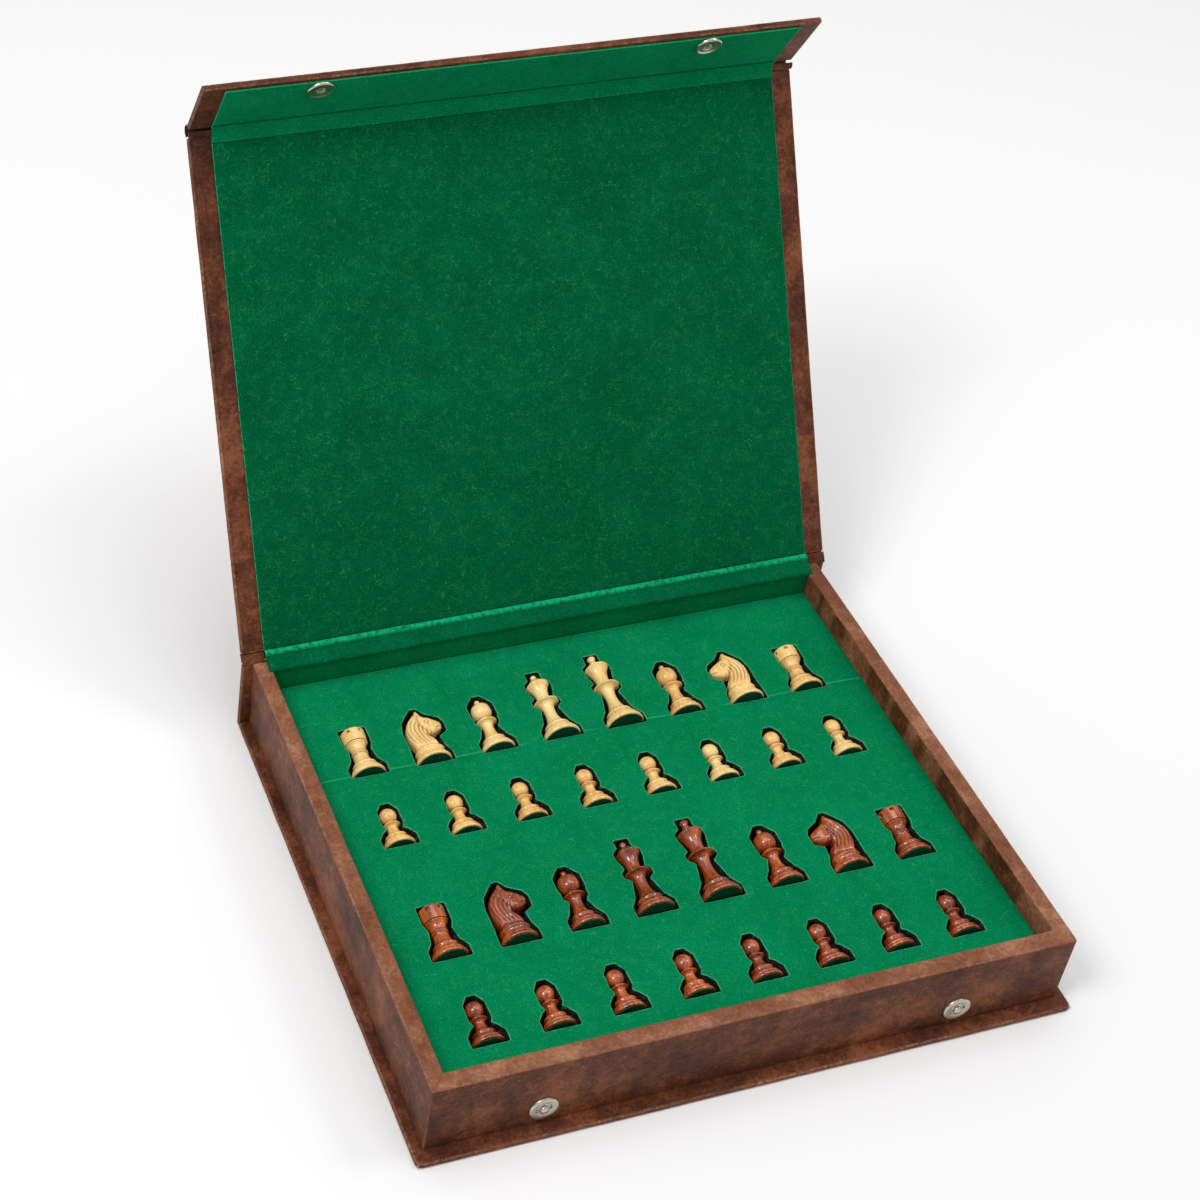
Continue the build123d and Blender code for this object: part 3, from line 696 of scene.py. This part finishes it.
lid_cloth_low = lid_velvet_low
lid_cloth_high = Vector((lid_velvet_high.x, lid_velvet_high.y, lid_low.z))
bm = panel_velvet(lid_cloth_low, lid_cloth_high, 0.2 * mm, 19)
lid_cloth = piece("lid_velvet_skin", bm, "lid", shaded_green, ["lid_velvet"], open_lid)

bm = soft_slab(flap_low, flap_high, 1.2 * mm, 4, 5 * mm, 0.14 * mm, 70, 23)
cross_cut(bm, 2, 5 * mm)
piece("flap_wrap_skin", bm, "flap", leather, ["flap_wrap"], open_flap)

flap_cloth_low = Vector((flap_velvet_low.x, flap_high.y, flap_velvet_low.z))
flap_cloth_high = flap_velvet_high
bm = panel_velvet(flap_cloth_low, flap_cloth_high, 0.16 * mm, 29)
cross_cut(bm, 2, 6 * mm)
flap_cloth = piece("flap_velvet_skin", bm, "flap", green, ["flap_velvet"], open_flap)


# Soft joints, shaped as they stand with the lid open and the flap half folded
def section_strip(low_x, high_x, line, thickness, step=4 * mm, wave=0.15 * mm, scale=60, seed=0.0):
    """A strip across the box that follows a line of (y, z) points, thickened to the line's left."""
    bm = new_mesh()
    points = [bm.verts.new((low_x, y, z)) for y, z in line]
    edges = [bm.edges.new(pair) for pair in zip(points, points[1:])]
    grown = bmesh.ops.extrude_edge_only(bm, edges=edges)["geom"]
    bmesh.ops.translate(bm, vec=(high_x - low_x, 0, 0), verts=verts_of(grown))
    cross_cut(bm, 0, step)
    ease(bm, wave, scale, seed)
    thicken(bm, thickness)
    return bm


def arc(centre, start, end, radius, way, steps=10):
    """Points of a (y, z) arc about a centre from one direction round to another."""
    first, last = [atan2(point.z - centre.z, point.y - centre.y) for point in (start, end)]
    sweep = way * ((way * (last - first)) % (2 * pi))
    turns = [first + sweep * i / steps for i in range(steps + 1)]
    return [(centre.y + radius * cos(turn), centre.z + radius * sin(turn)) for turn in turns]


def smooth_line(*points, steps=5):
    """A (y, z) line through the given points, rounded between them."""
    spots = [Vector(point) for point in points]
    ends = [2 * spots[0] - spots[1]] + spots + [2 * spots[-1] - spots[-2]]
    line = []
    for before, start, end, after in zip(ends, ends[1:], ends[2:], ends[3:]):
        for i in range(steps):
            t = i / steps
            bend = (2 * start + (end - before) * t + (2 * before - 5 * start + 4 * end - after) * t ** 2
                    + (3 * start - before - 3 * end + after) * t ** 3) / 2
            line.append((bend.x, bend.y))
    return line + [tuple(spots[-1])]


def lid_point(y, z):
    """Where a point of the closed lid's section is in the open box."""
    return open_lid @ Vector((0, y, z))


def flap_point(y, z):
    return open_flap @ Vector((0, y, z))


soft_gap = 0.3 * mm
borders = (("left", lid_low.x, lid_cloth_low.x), ("right", lid_cloth_high.x, lid_high.x))
lid_back_end = lid_high.y + soft_gap
spine_top = spine_high.z + soft_gap
outer_end = lid_point(lid_back_end, lid_high.z - skin / 2)
line = smooth_line((spine_high.y - skin / 2, spine_top), (spine_high.y + 0.8 * mm, spine_top + 1.5 * mm),
                   (outer_end.y, outer_end.z))
bm = section_strip(lid_low.x, lid_high.x, line, skin, seed=31)
joint_skin = piece("lid_joint_skin", bm, None, leather, ["lid_hinge_leather"])
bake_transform(joint_skin, "case", "lid", start=(0, spine_high.y, spine_top), end=(0, outer_end.y, outer_end.z))

inner_end = lid_point(lid_back_end, lid_low.z + skin)
line = smooth_line((spine_low.y + 0.5 * mm, spine_top), (spine_low.y + 1.6 * mm, spine_top + 2.4 * mm),
                   (inner_end.y, inner_end.z))
for side, low_x, high_x in borders:
    bm = section_strip(low_x, high_x, line, skin, 3 * mm, 0.12 * mm, 90, 33)
    end_skin = piece(f"lid_joint_{side}_end", bm, None, leather)
    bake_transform(end_skin, "case", "lid", start=(0, spine_high.y, spine_top), end=(0, outer_end.y, outer_end.z))

web_low, web_high = shown_box("lid_hinge_velvet")
web_end = lid_point(lid_back_end, lid_cloth_low.z + 0.3 * mm)
line = smooth_line((facing_low.y - 0.3 * mm, facing_high.z - 1.3 * mm),
                   (facing_low.y + 0.3 * mm, facing_high.z + 0.7 * mm),
                   (facing_low.y + 4.6 * mm, facing_high.z + 2.0 * mm),
                   (web_end.y - 4.2 * mm, web_end.z - 1.6 * mm), (web_end.y - 2.6 * mm, web_end.z + 0.4 * mm),
                   (web_end.y - 0.4 * mm, web_end.z + 1.2 * mm))
# The web takes the darker copy of the velvet, painted shade to match the upright facing below it, with a paler
# colour for the painted highlight on its ridge.
web_green = velvet("velvet_web_green", velvet_deep, velvet_plain, velvet_full, velvet_web_highlight)
bm = section_strip(web_low.x, web_high.x, line, 1.0 * mm, 3 * mm, 0.2 * mm, 90, 37)
# Painted highlight along the top of the web's roll, where the light from above falls on it.
lit_edge = bm.verts.layers.float["edge"]
for vertex in bm.verts:
    vertex[lit_edge] = 1.4 * min(max((vertex.co.y - web_end.y + 4.4 * mm) / (1.6 * mm), 0), 1)
web = piece("lid_web_velvet", bm, None, web_green, ["lid_hinge_velvet"])
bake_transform(web, "case", "lid", start=(0, web_low.y, web_low.z), end=(0, web_end.y, web_end.z))

fold_start = lid_point(lid_low.y - soft_gap, lid_high.z)
fold_finish = flap_point(flap_low.y, flap_high.z + soft_gap)
inner_start = lid_point(lid_low.y - soft_gap, lid_cloth_low.z)
inner_finish = flap_point(flap_cloth_high.y, flap_high.z + soft_gap)
fold_radius = 4.4 * mm
line = arc(fold_at, fold_start, fold_finish, fold_radius, 1)
bm = section_strip(lid_low.x, lid_high.x, line, skin, seed=41)
fold_skin = piece("flap_joint_skin", bm, None, leather, ["flap_hinge_leather"])
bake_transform(fold_skin, "lid", "flap", start=tuple(fold_start), end=tuple(fold_finish))

inner_line = arc(fold_at, inner_start, inner_finish, fold_radius, -1)
lap = 4.5 * mm
proud = 0.35 * mm
stops = [lid_point(lid_low.y + lap, lid_cloth_low.z - proud),
         lid_point(lid_low.y, lid_cloth_low.z - 1.2 * proud), None,
         flap_point(flap_cloth_high.y + 1.2 * proud, flap_high.z),
         flap_point(flap_cloth_high.y + proud, flap_high.z - lap)]
crease = (stops[1] + stops[3]) / 2
stops[2] = fold_at + (crease - fold_at).normalized() * 4.7 * mm
cloth_line = smooth_line(*[(stop.y, stop.z) for stop in stops])
bm = section_strip(lid_cloth_low.x, lid_cloth_high.x, cloth_line, 0.5 * mm, 4 * mm, 0.1 * mm, 70, 43)
fold_cloth = piece("flap_joint_velvet", bm, None, green, ["flap_hinge_velvet"])
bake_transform(fold_cloth, "lid", "flap", start=tuple(inner_start), end=tuple(inner_finish))

for side, low_x, high_x in borders:
    bm = section_strip(low_x, high_x, inner_line, skin, 3 * mm, 0.15 * mm, 90, 47)
    corner_skin = piece(f"flap_joint_{side}_end", bm, None, leather)
    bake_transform(corner_skin, "lid", "flap", start=tuple(inner_start), end=tuple(inner_finish))


# Snaps
def turned(profile, steps=40):
    """Turns a half profile of (radius, height) points about Z; it starts and ends on the axis."""
    bm = new_mesh()
    dark = bm.verts.layers.float["groove"]
    spots = [Vector(point) for point in profile]
    rings = []
    for before, spot, after in zip([spots[0]] + spots, spots, spots[1:] + [spots[-1]]):
        first, second = spot - before, after - spot
        if spot.x < 1e-7:
            rings.append([bm.verts.new((0, 0, spot.y))] * steps)
            continue
        ring = [bm.verts.new((spot.x * cos(2 * pi * i / steps), spot.x * sin(2 * pi * i / steps), spot.y))
                for i in range(steps)]
        # Concave bends of the profile are marked for painted shade in the creases.
        if first.length > 1e-7 and second.length > 1e-7:
            for vertex in ring:
                vertex[dark] = min(max((first.angle_signed(second) - 0.3) / 0.5, 0), 1)
        rings.append(ring)
    for ring, above in zip(rings, rings[1:]):
        for i in range(steps):
            j = (i + 1) % steps
            corners = list(dict.fromkeys((ring[i], ring[j], above[j], above[i])))
            if len(corners) > 2:
                bm.faces.new(corners)
    bmesh.ops.remove_doubles(bm, verts=bm.verts, dist=1e-6)
    bmesh.ops.recalc_face_normals(bm, faces=bm.faces)
    return bm


def in_mm(points):
    return [(x * mm, y * mm) for x, y in points]


def bowed(start, end, bow, steps):
    """Points from one to another on an arc that stands off its chord by a share of it."""
    (x0, y0), (x1, y1) = start, end
    points = []
    for i in range(1, steps + 1):
        t = i / steps
        off = 4 * bow * t * (1 - t)
        points.append((x0 + (x1 - x0) * t - off * (y1 - y0), y0 + (y1 - y0) * t + off * (x1 - x0)))
    return points


def bow_on(line, end, bow, steps):
    """Carries a line on to a point by such an arc."""
    line += bowed(line[-1], end, bow, steps)
    return line


nickel = metal("nickel_plate", nickel_grey, 0.24)
brass = metal("brass_rivet", brass_yellow, 0.22)
plate_radius = 9 * mm
stud_low, stud_high = shown_box("snap_studs")
snap_x, snap_z = stud_high.x - plate_radius, (stud_low.z + stud_high.z) / 2
stud_profile = in_mm([(0, 2.8), (0.9, 2.78), (1.9, 2.6), (2.4, 2.25), (2.6, 1.8), (2.5, 0.4), (2.7, 0.25),
                      (4.3, 0.25), (4.6, 0.9), (4.9, 1.25), (5.4, 1.35), (7.6, 1.4), (8.4, 1.45), (8.8, 1.2),
                      (9.0, 0.7), (9.0, 0.02), (0, 0.02)])
socket_profile = in_mm([(0, 0.35), (1.2, 0.35), (1.7, 0.2), (2.4, 0.05), (3.0, 0.1), (3.05, 1.1), (3.3, 1.25),
                        (5.8, 1.2), (7.3, 1.35), (7.8, 1.7), (8.3, 1.7), (8.8, 1.35), (9.0, 0.8), (9.0, 0.02),
                        (0, 0.02)])
rivet_profile = in_mm([(0, 0.62), (0.8, 0.6), (1.3, 0.42), (1.5, 0.2), (0, 0.2)])
wall_out = Matrix.Rotation(radians(90), 4, "X")
flap_in = Matrix.Rotation(radians(-90), 4, "X")
for side, sign in (("left", -1), ("right", 1)):
    at_wall = Matrix.Translation((sign * snap_x, 0, snap_z)) @ wall_out
    piece(f"snap_stud_{side}", turned(stud_profile, 48), "case", nickel, ["snap_studs"], at_wall)
    at_flap = open_flap @ Matrix.Translation((sign * snap_x, flap_cloth_high.y, snap_z)) @ flap_in
    piece(f"snap_socket_{side}", turned(socket_profile, 48), "flap", nickel, ["snap_sockets"],
          at_flap)
    piece(f"snap_rivet_{side}", turned(rivet_profile, 24), "flap", brass, (), at_flap)


# Chessmen: height, base, ring, neck and collar radius, collar height, head radius and lean, in mm
# and degrees, as the model's pieces stand
felt_high = 0.8
slot_top = 1.6
file_pitch = 43.2
foot_height = 22.3
foot_gap = 1.0
king = (59.0, 12.8, 8.3, 4.2, 8.8, 32.0, 8.0, 3.5)
queen = (53.5, 12.4, 8.0, 4.1, 8.4, 29.0, 7.6, 3.5)
bishop = (42.5, 11.3, 7.4, 3.8, 7.0, 23.5, 6.6, 4.5)
knight = (42.0, 11.9, 9.4, 7.8, 9.0, 12.6, 8.0, 3.0)
rook = (35.5, 11.5, 7.6, 5.0, 6.6, 25.0, 8.0, 4.0)
pawn = (29.5, 10.4, 6.8, 3.4, 5.6, 17.0, 5.5, 5.5)


def foot_line(kind):
    """The two bands and the bell of a foot, from the felt up to the ring under the stem."""
    base, ring = kind[1], kind[2]
    plinth, bead, cove, top = [felt_high + share * base for share in (0.24, 0.42, 0.64, 0.80)]
    line = [(0, felt_high), (base - 0.8, felt_high)]
    bow_on(line, (base, felt_high + 0.9), -0.2, 3)
    bow_on(line, (base - 0.6, plinth - 0.1), -0.08, 4)
    line += [(0.9 * base - 0.3, plinth - 0.05), (0.9 * base - 0.25, plinth + 0.25)]
    bow_on(line, (0.8 * base, bead), -0.25, 5)
    line += [(0.8 * base - 0.5, bead + 0.05)]
    bow_on(line, (ring, cove), 0.12, 6)
    return bow_on(line, (ring - 0.5, top), -0.35, 5)


def stem_line(kind, line):
    """The stem's hollow up to the thin collar, and the shoulder over it."""
    neck, collar, collar_at, head = kind[3], kind[4], kind[5], kind[6]
    line.append((line[-1][0] - 0.5, line[-1][1] + 0.05))
    bow_on(line, (neck, collar_at - 0.38 * collar), 0.10, 8)
    bow_on(line, (collar - 0.25, collar_at - 0.2), 0.2, 6)
    bow_on(line, (collar - 0.2, collar_at + 0.7), -0.45, 4)
    bow_on(line, (0.58 * head, collar_at + 0.6 + 0.3 * collar), 0.18, 4)
    return line


def ball_line(line, height, radius, steps=9):
    """A ball over the line's end, up to the axis."""
    centre = height - radius
    first = -sqrt(max(radius ** 2 - line[-1][0] ** 2, 0)) / radius
    low = atan2(first, sqrt(1 - first ** 2))
    for i in range(steps + 1):
        turn = low + (pi / 2 - low) * i / steps
        line.append((radius * cos(turn) if i < steps else 0, centre + radius * sin(turn)))
    return line


def crown_line(kind, line, knob):
    """A cup with a rim, a low dome and a finial."""
    height, head = kind[0], kind[6]
    shoulder = 0.82 * height
    bow_on(line, (head - 0.2, shoulder - 0.2), 0.10, 8)
    bow_on(line, (head - 0.2, shoulder + 0.8), -0.3, 3)
    line.append((head - 0.9, shoulder + 0.9))
    if kind is queen:
        bow_on(line, (0.8 * knob, height - 2 * knob), -0.10, 8)
        return ball_line(line, height, knob)
    bow_on(line, (0.62 * knob, height - 2.25 * knob), -0.10, 8)
    bow_on(line, (0.62 * knob, height - 1.5 * knob), -0.4, 5)
    bow_on(line, (knob, height - 0.5 * knob), 0.06, 4)
    return bow_on(line, (0, height), -0.22, 6)


def man_line(kind):
    """A turned piece's whole half profile."""
    height, head = kind[0], kind[6]
    line = foot_line(kind)
    if kind is knight:
        neck, top = kind[2] - 0.2, kind[5]
        line += bowed((line[-1][0] - 0.7, line[-1][1] + 0.1), (neck - 1.3, top - 1.9), 0.1, 3)
        bow_on(line, (neck - 1.4, top - 0.6), -0.5, 4)
        return line + [(neck - 2.2, top - 0.3), (0, top - 0.3)]
    if kind is rook:
        band = 0.72 * height
        bow_on(line, (kind[3] + 0.05, height / 2), 0.10, 6)
        bow_on(line, (kind[3] + 0.1, height / 2 + 0.9), -0.4, 3)
        bow_on(line, (kind[3] + 0.1, height / 2 + 1.8), -0.4, 3)
        bow_on(line, (head - 1.1, band - 0.4), 0.13, 6)
        bow_on(line, (head - 0.8, band + 0.3), -0.3, 3)
        line += [(head - 1.2, band + 0.35), (head - 1.2, band + 0.75)]
        slot = height - slot_top
        line += [(head - 0.35, band + 0.8), (head - 0.05, slot - 2.0), (head - 0.05, slot - 1.8),
                 (head, slot), (head, slot + 0.2)]
        bow_on(line, (head - 0.8, height), -0.2, 4)
        return line + [(0.74 * head, height), (0.74 * head, height - 1.2), (0, height - 1.2)]
    line = stem_line(kind, line)
    if kind is pawn:
        return ball_line(line, height, head)
    if kind is bishop:
        knob, waist = 0.27 * head, height - 0.54 * head
        seat_x, seat_y = line[-1]
        line += bowed((seat_x - 0.5, seat_y + 0.05), (seat_x - 0.6, seat_y + 1.0), -0.4, 3)
        widest = (head, (line[-1][1] + waist) / 2)
        bow_on(line, widest, -0.19, 8)
        bow_on(line, (0.8 * knob, waist), -0.2, 9)
        return ball_line(line, height, knob, 6)
    return crown_line(kind, line, (0.27 if kind is queen else 0.36) * head)


def notch_rook(bm):
    """Six short slots in the side of the rook's crown, marked for painted shade inside them."""
    height, head = rook[0] * mm, rook[6] * mm
    cut = bm.verts.layers.float["groove"]
    low, high = height - (slot_top + 1.9) * mm, height - (slot_top - 0.1) * mm
    for vertex in bm.verts:
        turn = (atan2(vertex.co.y, vertex.co.x) / (pi / 3) + 0.5) % 1 - 0.5
        if low < vertex.co.z < high and abs(turn) < 0.09 and vertex.co.xy.length > 0.9 * head:
            vertex.co.xy = vertex.co.xy.normalized() * (head - 1.3 * mm)
            vertex[cut] = 1


horse_outline = in_mm([
    (7.0, 12.0), (7.2, 15.0), (6.2, 18.0), (3.6, 20.6), (2.6, 22.4), (3.8, 23.2), (6.6, 22.8), (9.4, 23.6),
    (11.6, 24.8), (13.4, 26.0), (14.2, 28.2), (13.8, 30.4), (12.2, 31.8), (9.2, 33.6), (6.4, 35.0),
    (3.6, 36.4), (2.6, 38.0), (1.4, 40.8), (0.0, 41.4), (-1.0, 39.6), (-3.4, 37.6), (-6.4, 34.6),
    (-8.8, 31.0), (-10.2, 26.6), (-10.2, 22.0), (-9.4, 17.4), (-8.2, 14.0), (-7.2, 12.0)])
half_blank = 6 * mm
mane_line = [Vector(point) for point in horse_outline[18:27]]
eye_at, nostril_at, *carved = [Vector(point) for point in in_mm([
    (4.6, 31.0), (12.2, 29.6), (14.0, 27.2), (11.8, 27.0), (9.8, 26.0),
    (3.0, 23.6), (1.2, 26.4), (-0.6, 30.0), (-0.8, 34.0), (0.6, 37.0)])]
mouth_line, jaw_line = carved[:3], carved[3:]


def far_from(point, line):
    """How far a point is from a line of points."""
    best = 1.0
    for start, end in zip(line, line[1:]):
        along = end - start
        share = min(max((point - start).dot(along) / along.length_squared, 0), 1)
        best = min(best, (start + along * share - point).length)
    return best


def horse_head():
    """A knight's head: its outline given a rounded thickness, then carved, its carved lines marked for painted
    shade.
    """
    rounded = [Vector(point) for point in smooth_line(*horse_outline, horse_outline[0], steps=3)]
    bm = new_mesh()
    face = bm.faces.new([bm.verts.new((point.x, -half_blank, point.y)) for point in rounded[:-1]])
    grown = bmesh.ops.extrude_face_region(bm, geom=[face])["geom"]
    bmesh.ops.translate(bm, vec=(0, 2 * half_blank, 0), verts=verts_of(grown))
    bmesh.ops.recalc_face_normals(bm, faces=bm.faces)
    mesh = bpy.data.meshes.new("horse_blank")
    bm.to_mesh(mesh)
    bm.free()
    blank = linked("horse_blank", mesh)
    remesh = blank.modifiers.new("even", "REMESH")
    remesh.mode = "VOXEL"
    remesh.voxel_size = 0.32 * mm
    evaluated = blank.evaluated_get(bpy.context.evaluated_depsgraph_get())
    bm = bmesh.new()
    bm.from_mesh(evaluated.to_mesh())
    bpy.data.objects.remove(blank)
    dark = with_layers(bm).verts.layers.float["groove"]
    for vertex in bm.verts:
        spot = Vector((vertex.co.x, vertex.co.z))
        rim = far_from(spot, rounded)
        full = 5.4 * mm
        if spot.x > 7 * mm:
            full -= 0.28 * (spot.x - 7 * mm)
        swell = full * (0.42 + 0.58 * sqrt(max(1 - (1 - min(rim / (3.2 * mm), 1)) ** 2, 0)))
        mane = far_from(spot, mane_line)
        cut = 0.0
        on_face = min(max((spot - eye_at).dot(Vector((0.75, 0.66))) / mm + 4.6, 0), 1)
        if spot.y < 36 * mm and on_face < 1:
            sweep = mane + 0.16 * (spot.y - 12 * mm) - 0.004 * (spot.y - 22 * mm) ** 2 / mm
            strand = 0.5 + 0.5 * cos(2 * pi * sweep / (2.5 * mm))
            low_end = min(max((spot.y - 14 * mm) / (4 * mm), 0), 1)
            cut += 0.7 * mm * strand ** 3 * (1 - on_face) * min(max(mane / (0.6 * mm), 0), 1) * low_end
        eye = (spot - eye_at).length
        cut += 0.7 * mm * max(1 - abs(eye - 1.3 * mm) / (0.55 * mm), 0)
        cut += 0.7 * mm * max(1 - far_from(spot, mouth_line) / (0.55 * mm), 0)
        cut += 0.6 * mm * max(1 - far_from(spot, jaw_line) / (0.8 * mm), 0)
        cut += 0.6 * mm * max(1 - (spot - nostril_at).length / (0.7 * mm), 0)
        vertex.co.y = vertex.co.y / half_blank * (swell - cut)
        # Carved lines are marked for painted shade, the deeper cuts darker.
        vertex[dark] = min(cut / (0.8 * mm), 1)
    bmesh.ops.smooth_vert(bm, verts=bm.verts, factor=0.3, use_axis_x=True, use_axis_y=True, use_axis_z=True)
    return bm


def laid(kind, across, front, facing):
    """Where a standing piece lies in its cavity: foot forward, head back and slightly raised."""
    tilt = radians(kind[7])
    reach = front + foot_gap + kind[1] * sin(tilt)
    height = foot_height + kind[1] * cos(tilt)
    side, up = Vector((facing, 0, 0)), Vector((0, cos(tilt), sin(tilt)))
    turn = Matrix((side, up.cross(side), up)).transposed().to_4x4()
    return Matrix.Translation(Vector((across, reach, height)) * mm) @ turn


boxwood = turned_wood("boxwood_satin", boxwood_brown, boxwood_mid, boxwood_pale, boxwood_crease_shade, 0.36, 0.4)
lacquer = turned_wood("red_lacquer_gloss", lacquer_dark, lacquer_red, lacquer_light, lacquer_crease_shade, 0.26, 1.0)
pad_felt = felt("pad_felt")
horse = horse_head()
horse_mesh = bpy.data.meshes.new("horse_carved")
horse.to_mesh(horse_mesh)
horse.free()
file_kinds = [rook, knight, bishop, queen, king, bishop, knight, rook]
file_names = ["rook_left", "knight_left", "bishop_left", "queen", "king", "bishop_right", "knight_right",
              "rook_right"]


def chessman(name, kind, across, front, facing, wood, tone, spin):
    """One piece and its felt pad, lying in its cavity and turned about its axis by its own amount."""
    place = laid(kind, across, front, facing)
    bm = turned(in_mm(man_line(kind)), 72 if kind is rook else 44)
    if kind is rook:
        notch_rook(bm)
        bmesh.ops.remove_doubles(bm, verts=bm.verts, dist=1e-6)
    if kind is knight:
        bm.from_mesh(horse_mesh)
    mark_layer = bm.verts.layers.float["tone"]
    for vertex in bm.verts:
        vertex[mark_layer] = tone
    if kind is not knight:
        place = place @ Matrix.Rotation(spin, 4, "Z")
    piece(f"{name}_wood", bm, name, wood, [name], place, 50)
    pad = turned(in_mm([(0, 0.75), (kind[1] - 1.4, 0.75), (kind[1] - 1.0, 0.6), (kind[1] - 1.0, 0.1),
                        (kind[1] - 1.3, 0), (0, 0)]), 40)
    piece(f"{name}_felt", pad, name, pad_felt, (), place)


for side, wood, slot, officer_row, pawn_row in (("white", boxwood, "boxwood", 235.0, 177.5),
                                                ("dark", lacquer, "red_lacquer", 92.0, 31.5)):
    for file in range(8):
        across = (file - 3.5) * file_pitch
        facing = -1 if file == 6 else 1
        tone = noise.noise(Vector((file * 1.7, officer_row * 0.31, 0.5)))
        chessman(f"{side}_{file_names[file]}", file_kinds[file], across, officer_row, facing, wood,
                 tone, 0.35 * file)
        chessman(f"{side}_pawn_{file + 1}", pawn, across, pawn_row, 1, wood, -tone, 0.5 * file)
bpy.data.meshes.remove(horse_mesh)

# Parts that stay out of sight keep the model's shape and get their own stock
card = core_stock("grey_board", paint(120, 112, 100), paint(160, 150, 134), 180)
fibre = core_stock("fibreboard", paint(140, 112, 78), paint(186, 156, 116), 320)
steel = metal("washer_steel", paint(150, 150, 150), 0.35)
ring_metal = metal("magnet_plate", paint(112, 112, 116), 0.4)
for stock, nodes in ((card, ("bottom_board", "spine_board", "lid_board", "flap_board")),
                     (fibre, ("tray_floor", "tray_wall_front", "tray_wall_back", "tray_wall_left",
                              "tray_wall_right")),
                     (steel, ("snap_stud_washers",)), (ring_metal, ("snap_magnets",))):
    for node in nodes:
        for holder in frame["nodes"][node].material_slots:
            holder.material = stock

# Floor, light and camera
floor_mesh = bpy.data.meshes.new("floor")
bm = bmesh.new()
bmesh.ops.create_grid(bm, x_segments=2, y_segments=2, size=6)
bm.to_mesh(floor_mesh)
bm.free()
floor = linked("floor", floor_mesh)
floor.location.z = -0.2 * mm
paper = Finish("floor_paper", roughness=0.9, specular_ior_level=0.1)
# Painted shading on the floor: darker towards the front and lighter towards the back.
shade = paper.ramp(paper.y.between(-0.8, 0.6), (0.0, paint(237, 237, 237)), (1.0, paint(251, 251, 251)))
floor_mesh.materials.append(paper.use(base_color=shade))

world = bpy.data.worlds.new("studio")
world.use_nodes = True
bpy.context.scene.world = world
world.node_tree.nodes["Background"].inputs["Color"].default_value = (1, 1, 1, 1)
world.node_tree.nodes["Background"].inputs["Strength"].default_value = 0.5


def softbox(name, place, aim, size, power):
    lamp = bpy.data.lights.new(name, "AREA")
    lamp.shape = "RECTANGLE"
    lamp.size, lamp.size_y = size
    lamp.energy = power
    holder = linked(name, lamp)
    holder.location = place
    holder.rotation_euler = (Vector(aim) - Vector(place)).to_track_quat("-Z", "Y").to_euler()


softbox("overhead", (0.1, 0.7, 3.6), (0, 0.4, 0), (2.4, 2.4), 36)
softbox("key_left", (-1.4, -0.2, 2.1), (0, 0.16, 0.05), (0.8, 0.8), 22)
softbox("key_right", (1.4, 0.0, 2.0), (0, 0.16, 0.05), (0.6, 0.6), 7)

# The camera solved on the photograph: focal length and centre are in its pixels
photo_width = 1200
focal = 2450.0
centre_x, centre_y = 283.4, 339.9
eye = Vector((-582.74, -703.54, 1167.73)) * mm
target = Vector((-91.264, 612.92, 80)) * mm
roll = 0.083156
look = (target - eye).normalized()
right = look.cross(Vector((0, 0, 1))).normalized()
up = right.cross(look)
camera_right = cos(roll) * right + sin(roll) * up
camera_up = cos(roll) * up - sin(roll) * right
lens_view = bpy.data.cameras.new("photo_view")
lens_view.sensor_width = 36
lens_view.lens = focal * lens_view.sensor_width / photo_width
lens_view.shift_x = (photo_width / 2 - centre_x) / photo_width
lens_view.shift_y = (centre_y - photo_width / 2) / photo_width
camera = linked("photo_view", lens_view)
camera.matrix_world = (Matrix.Translation(eye)
                       @ Matrix((camera_right, camera_up, -look)).transposed().to_4x4())
bpy.context.scene.camera = camera
bpy.context.scene.view_settings.view_transform = "Standard"
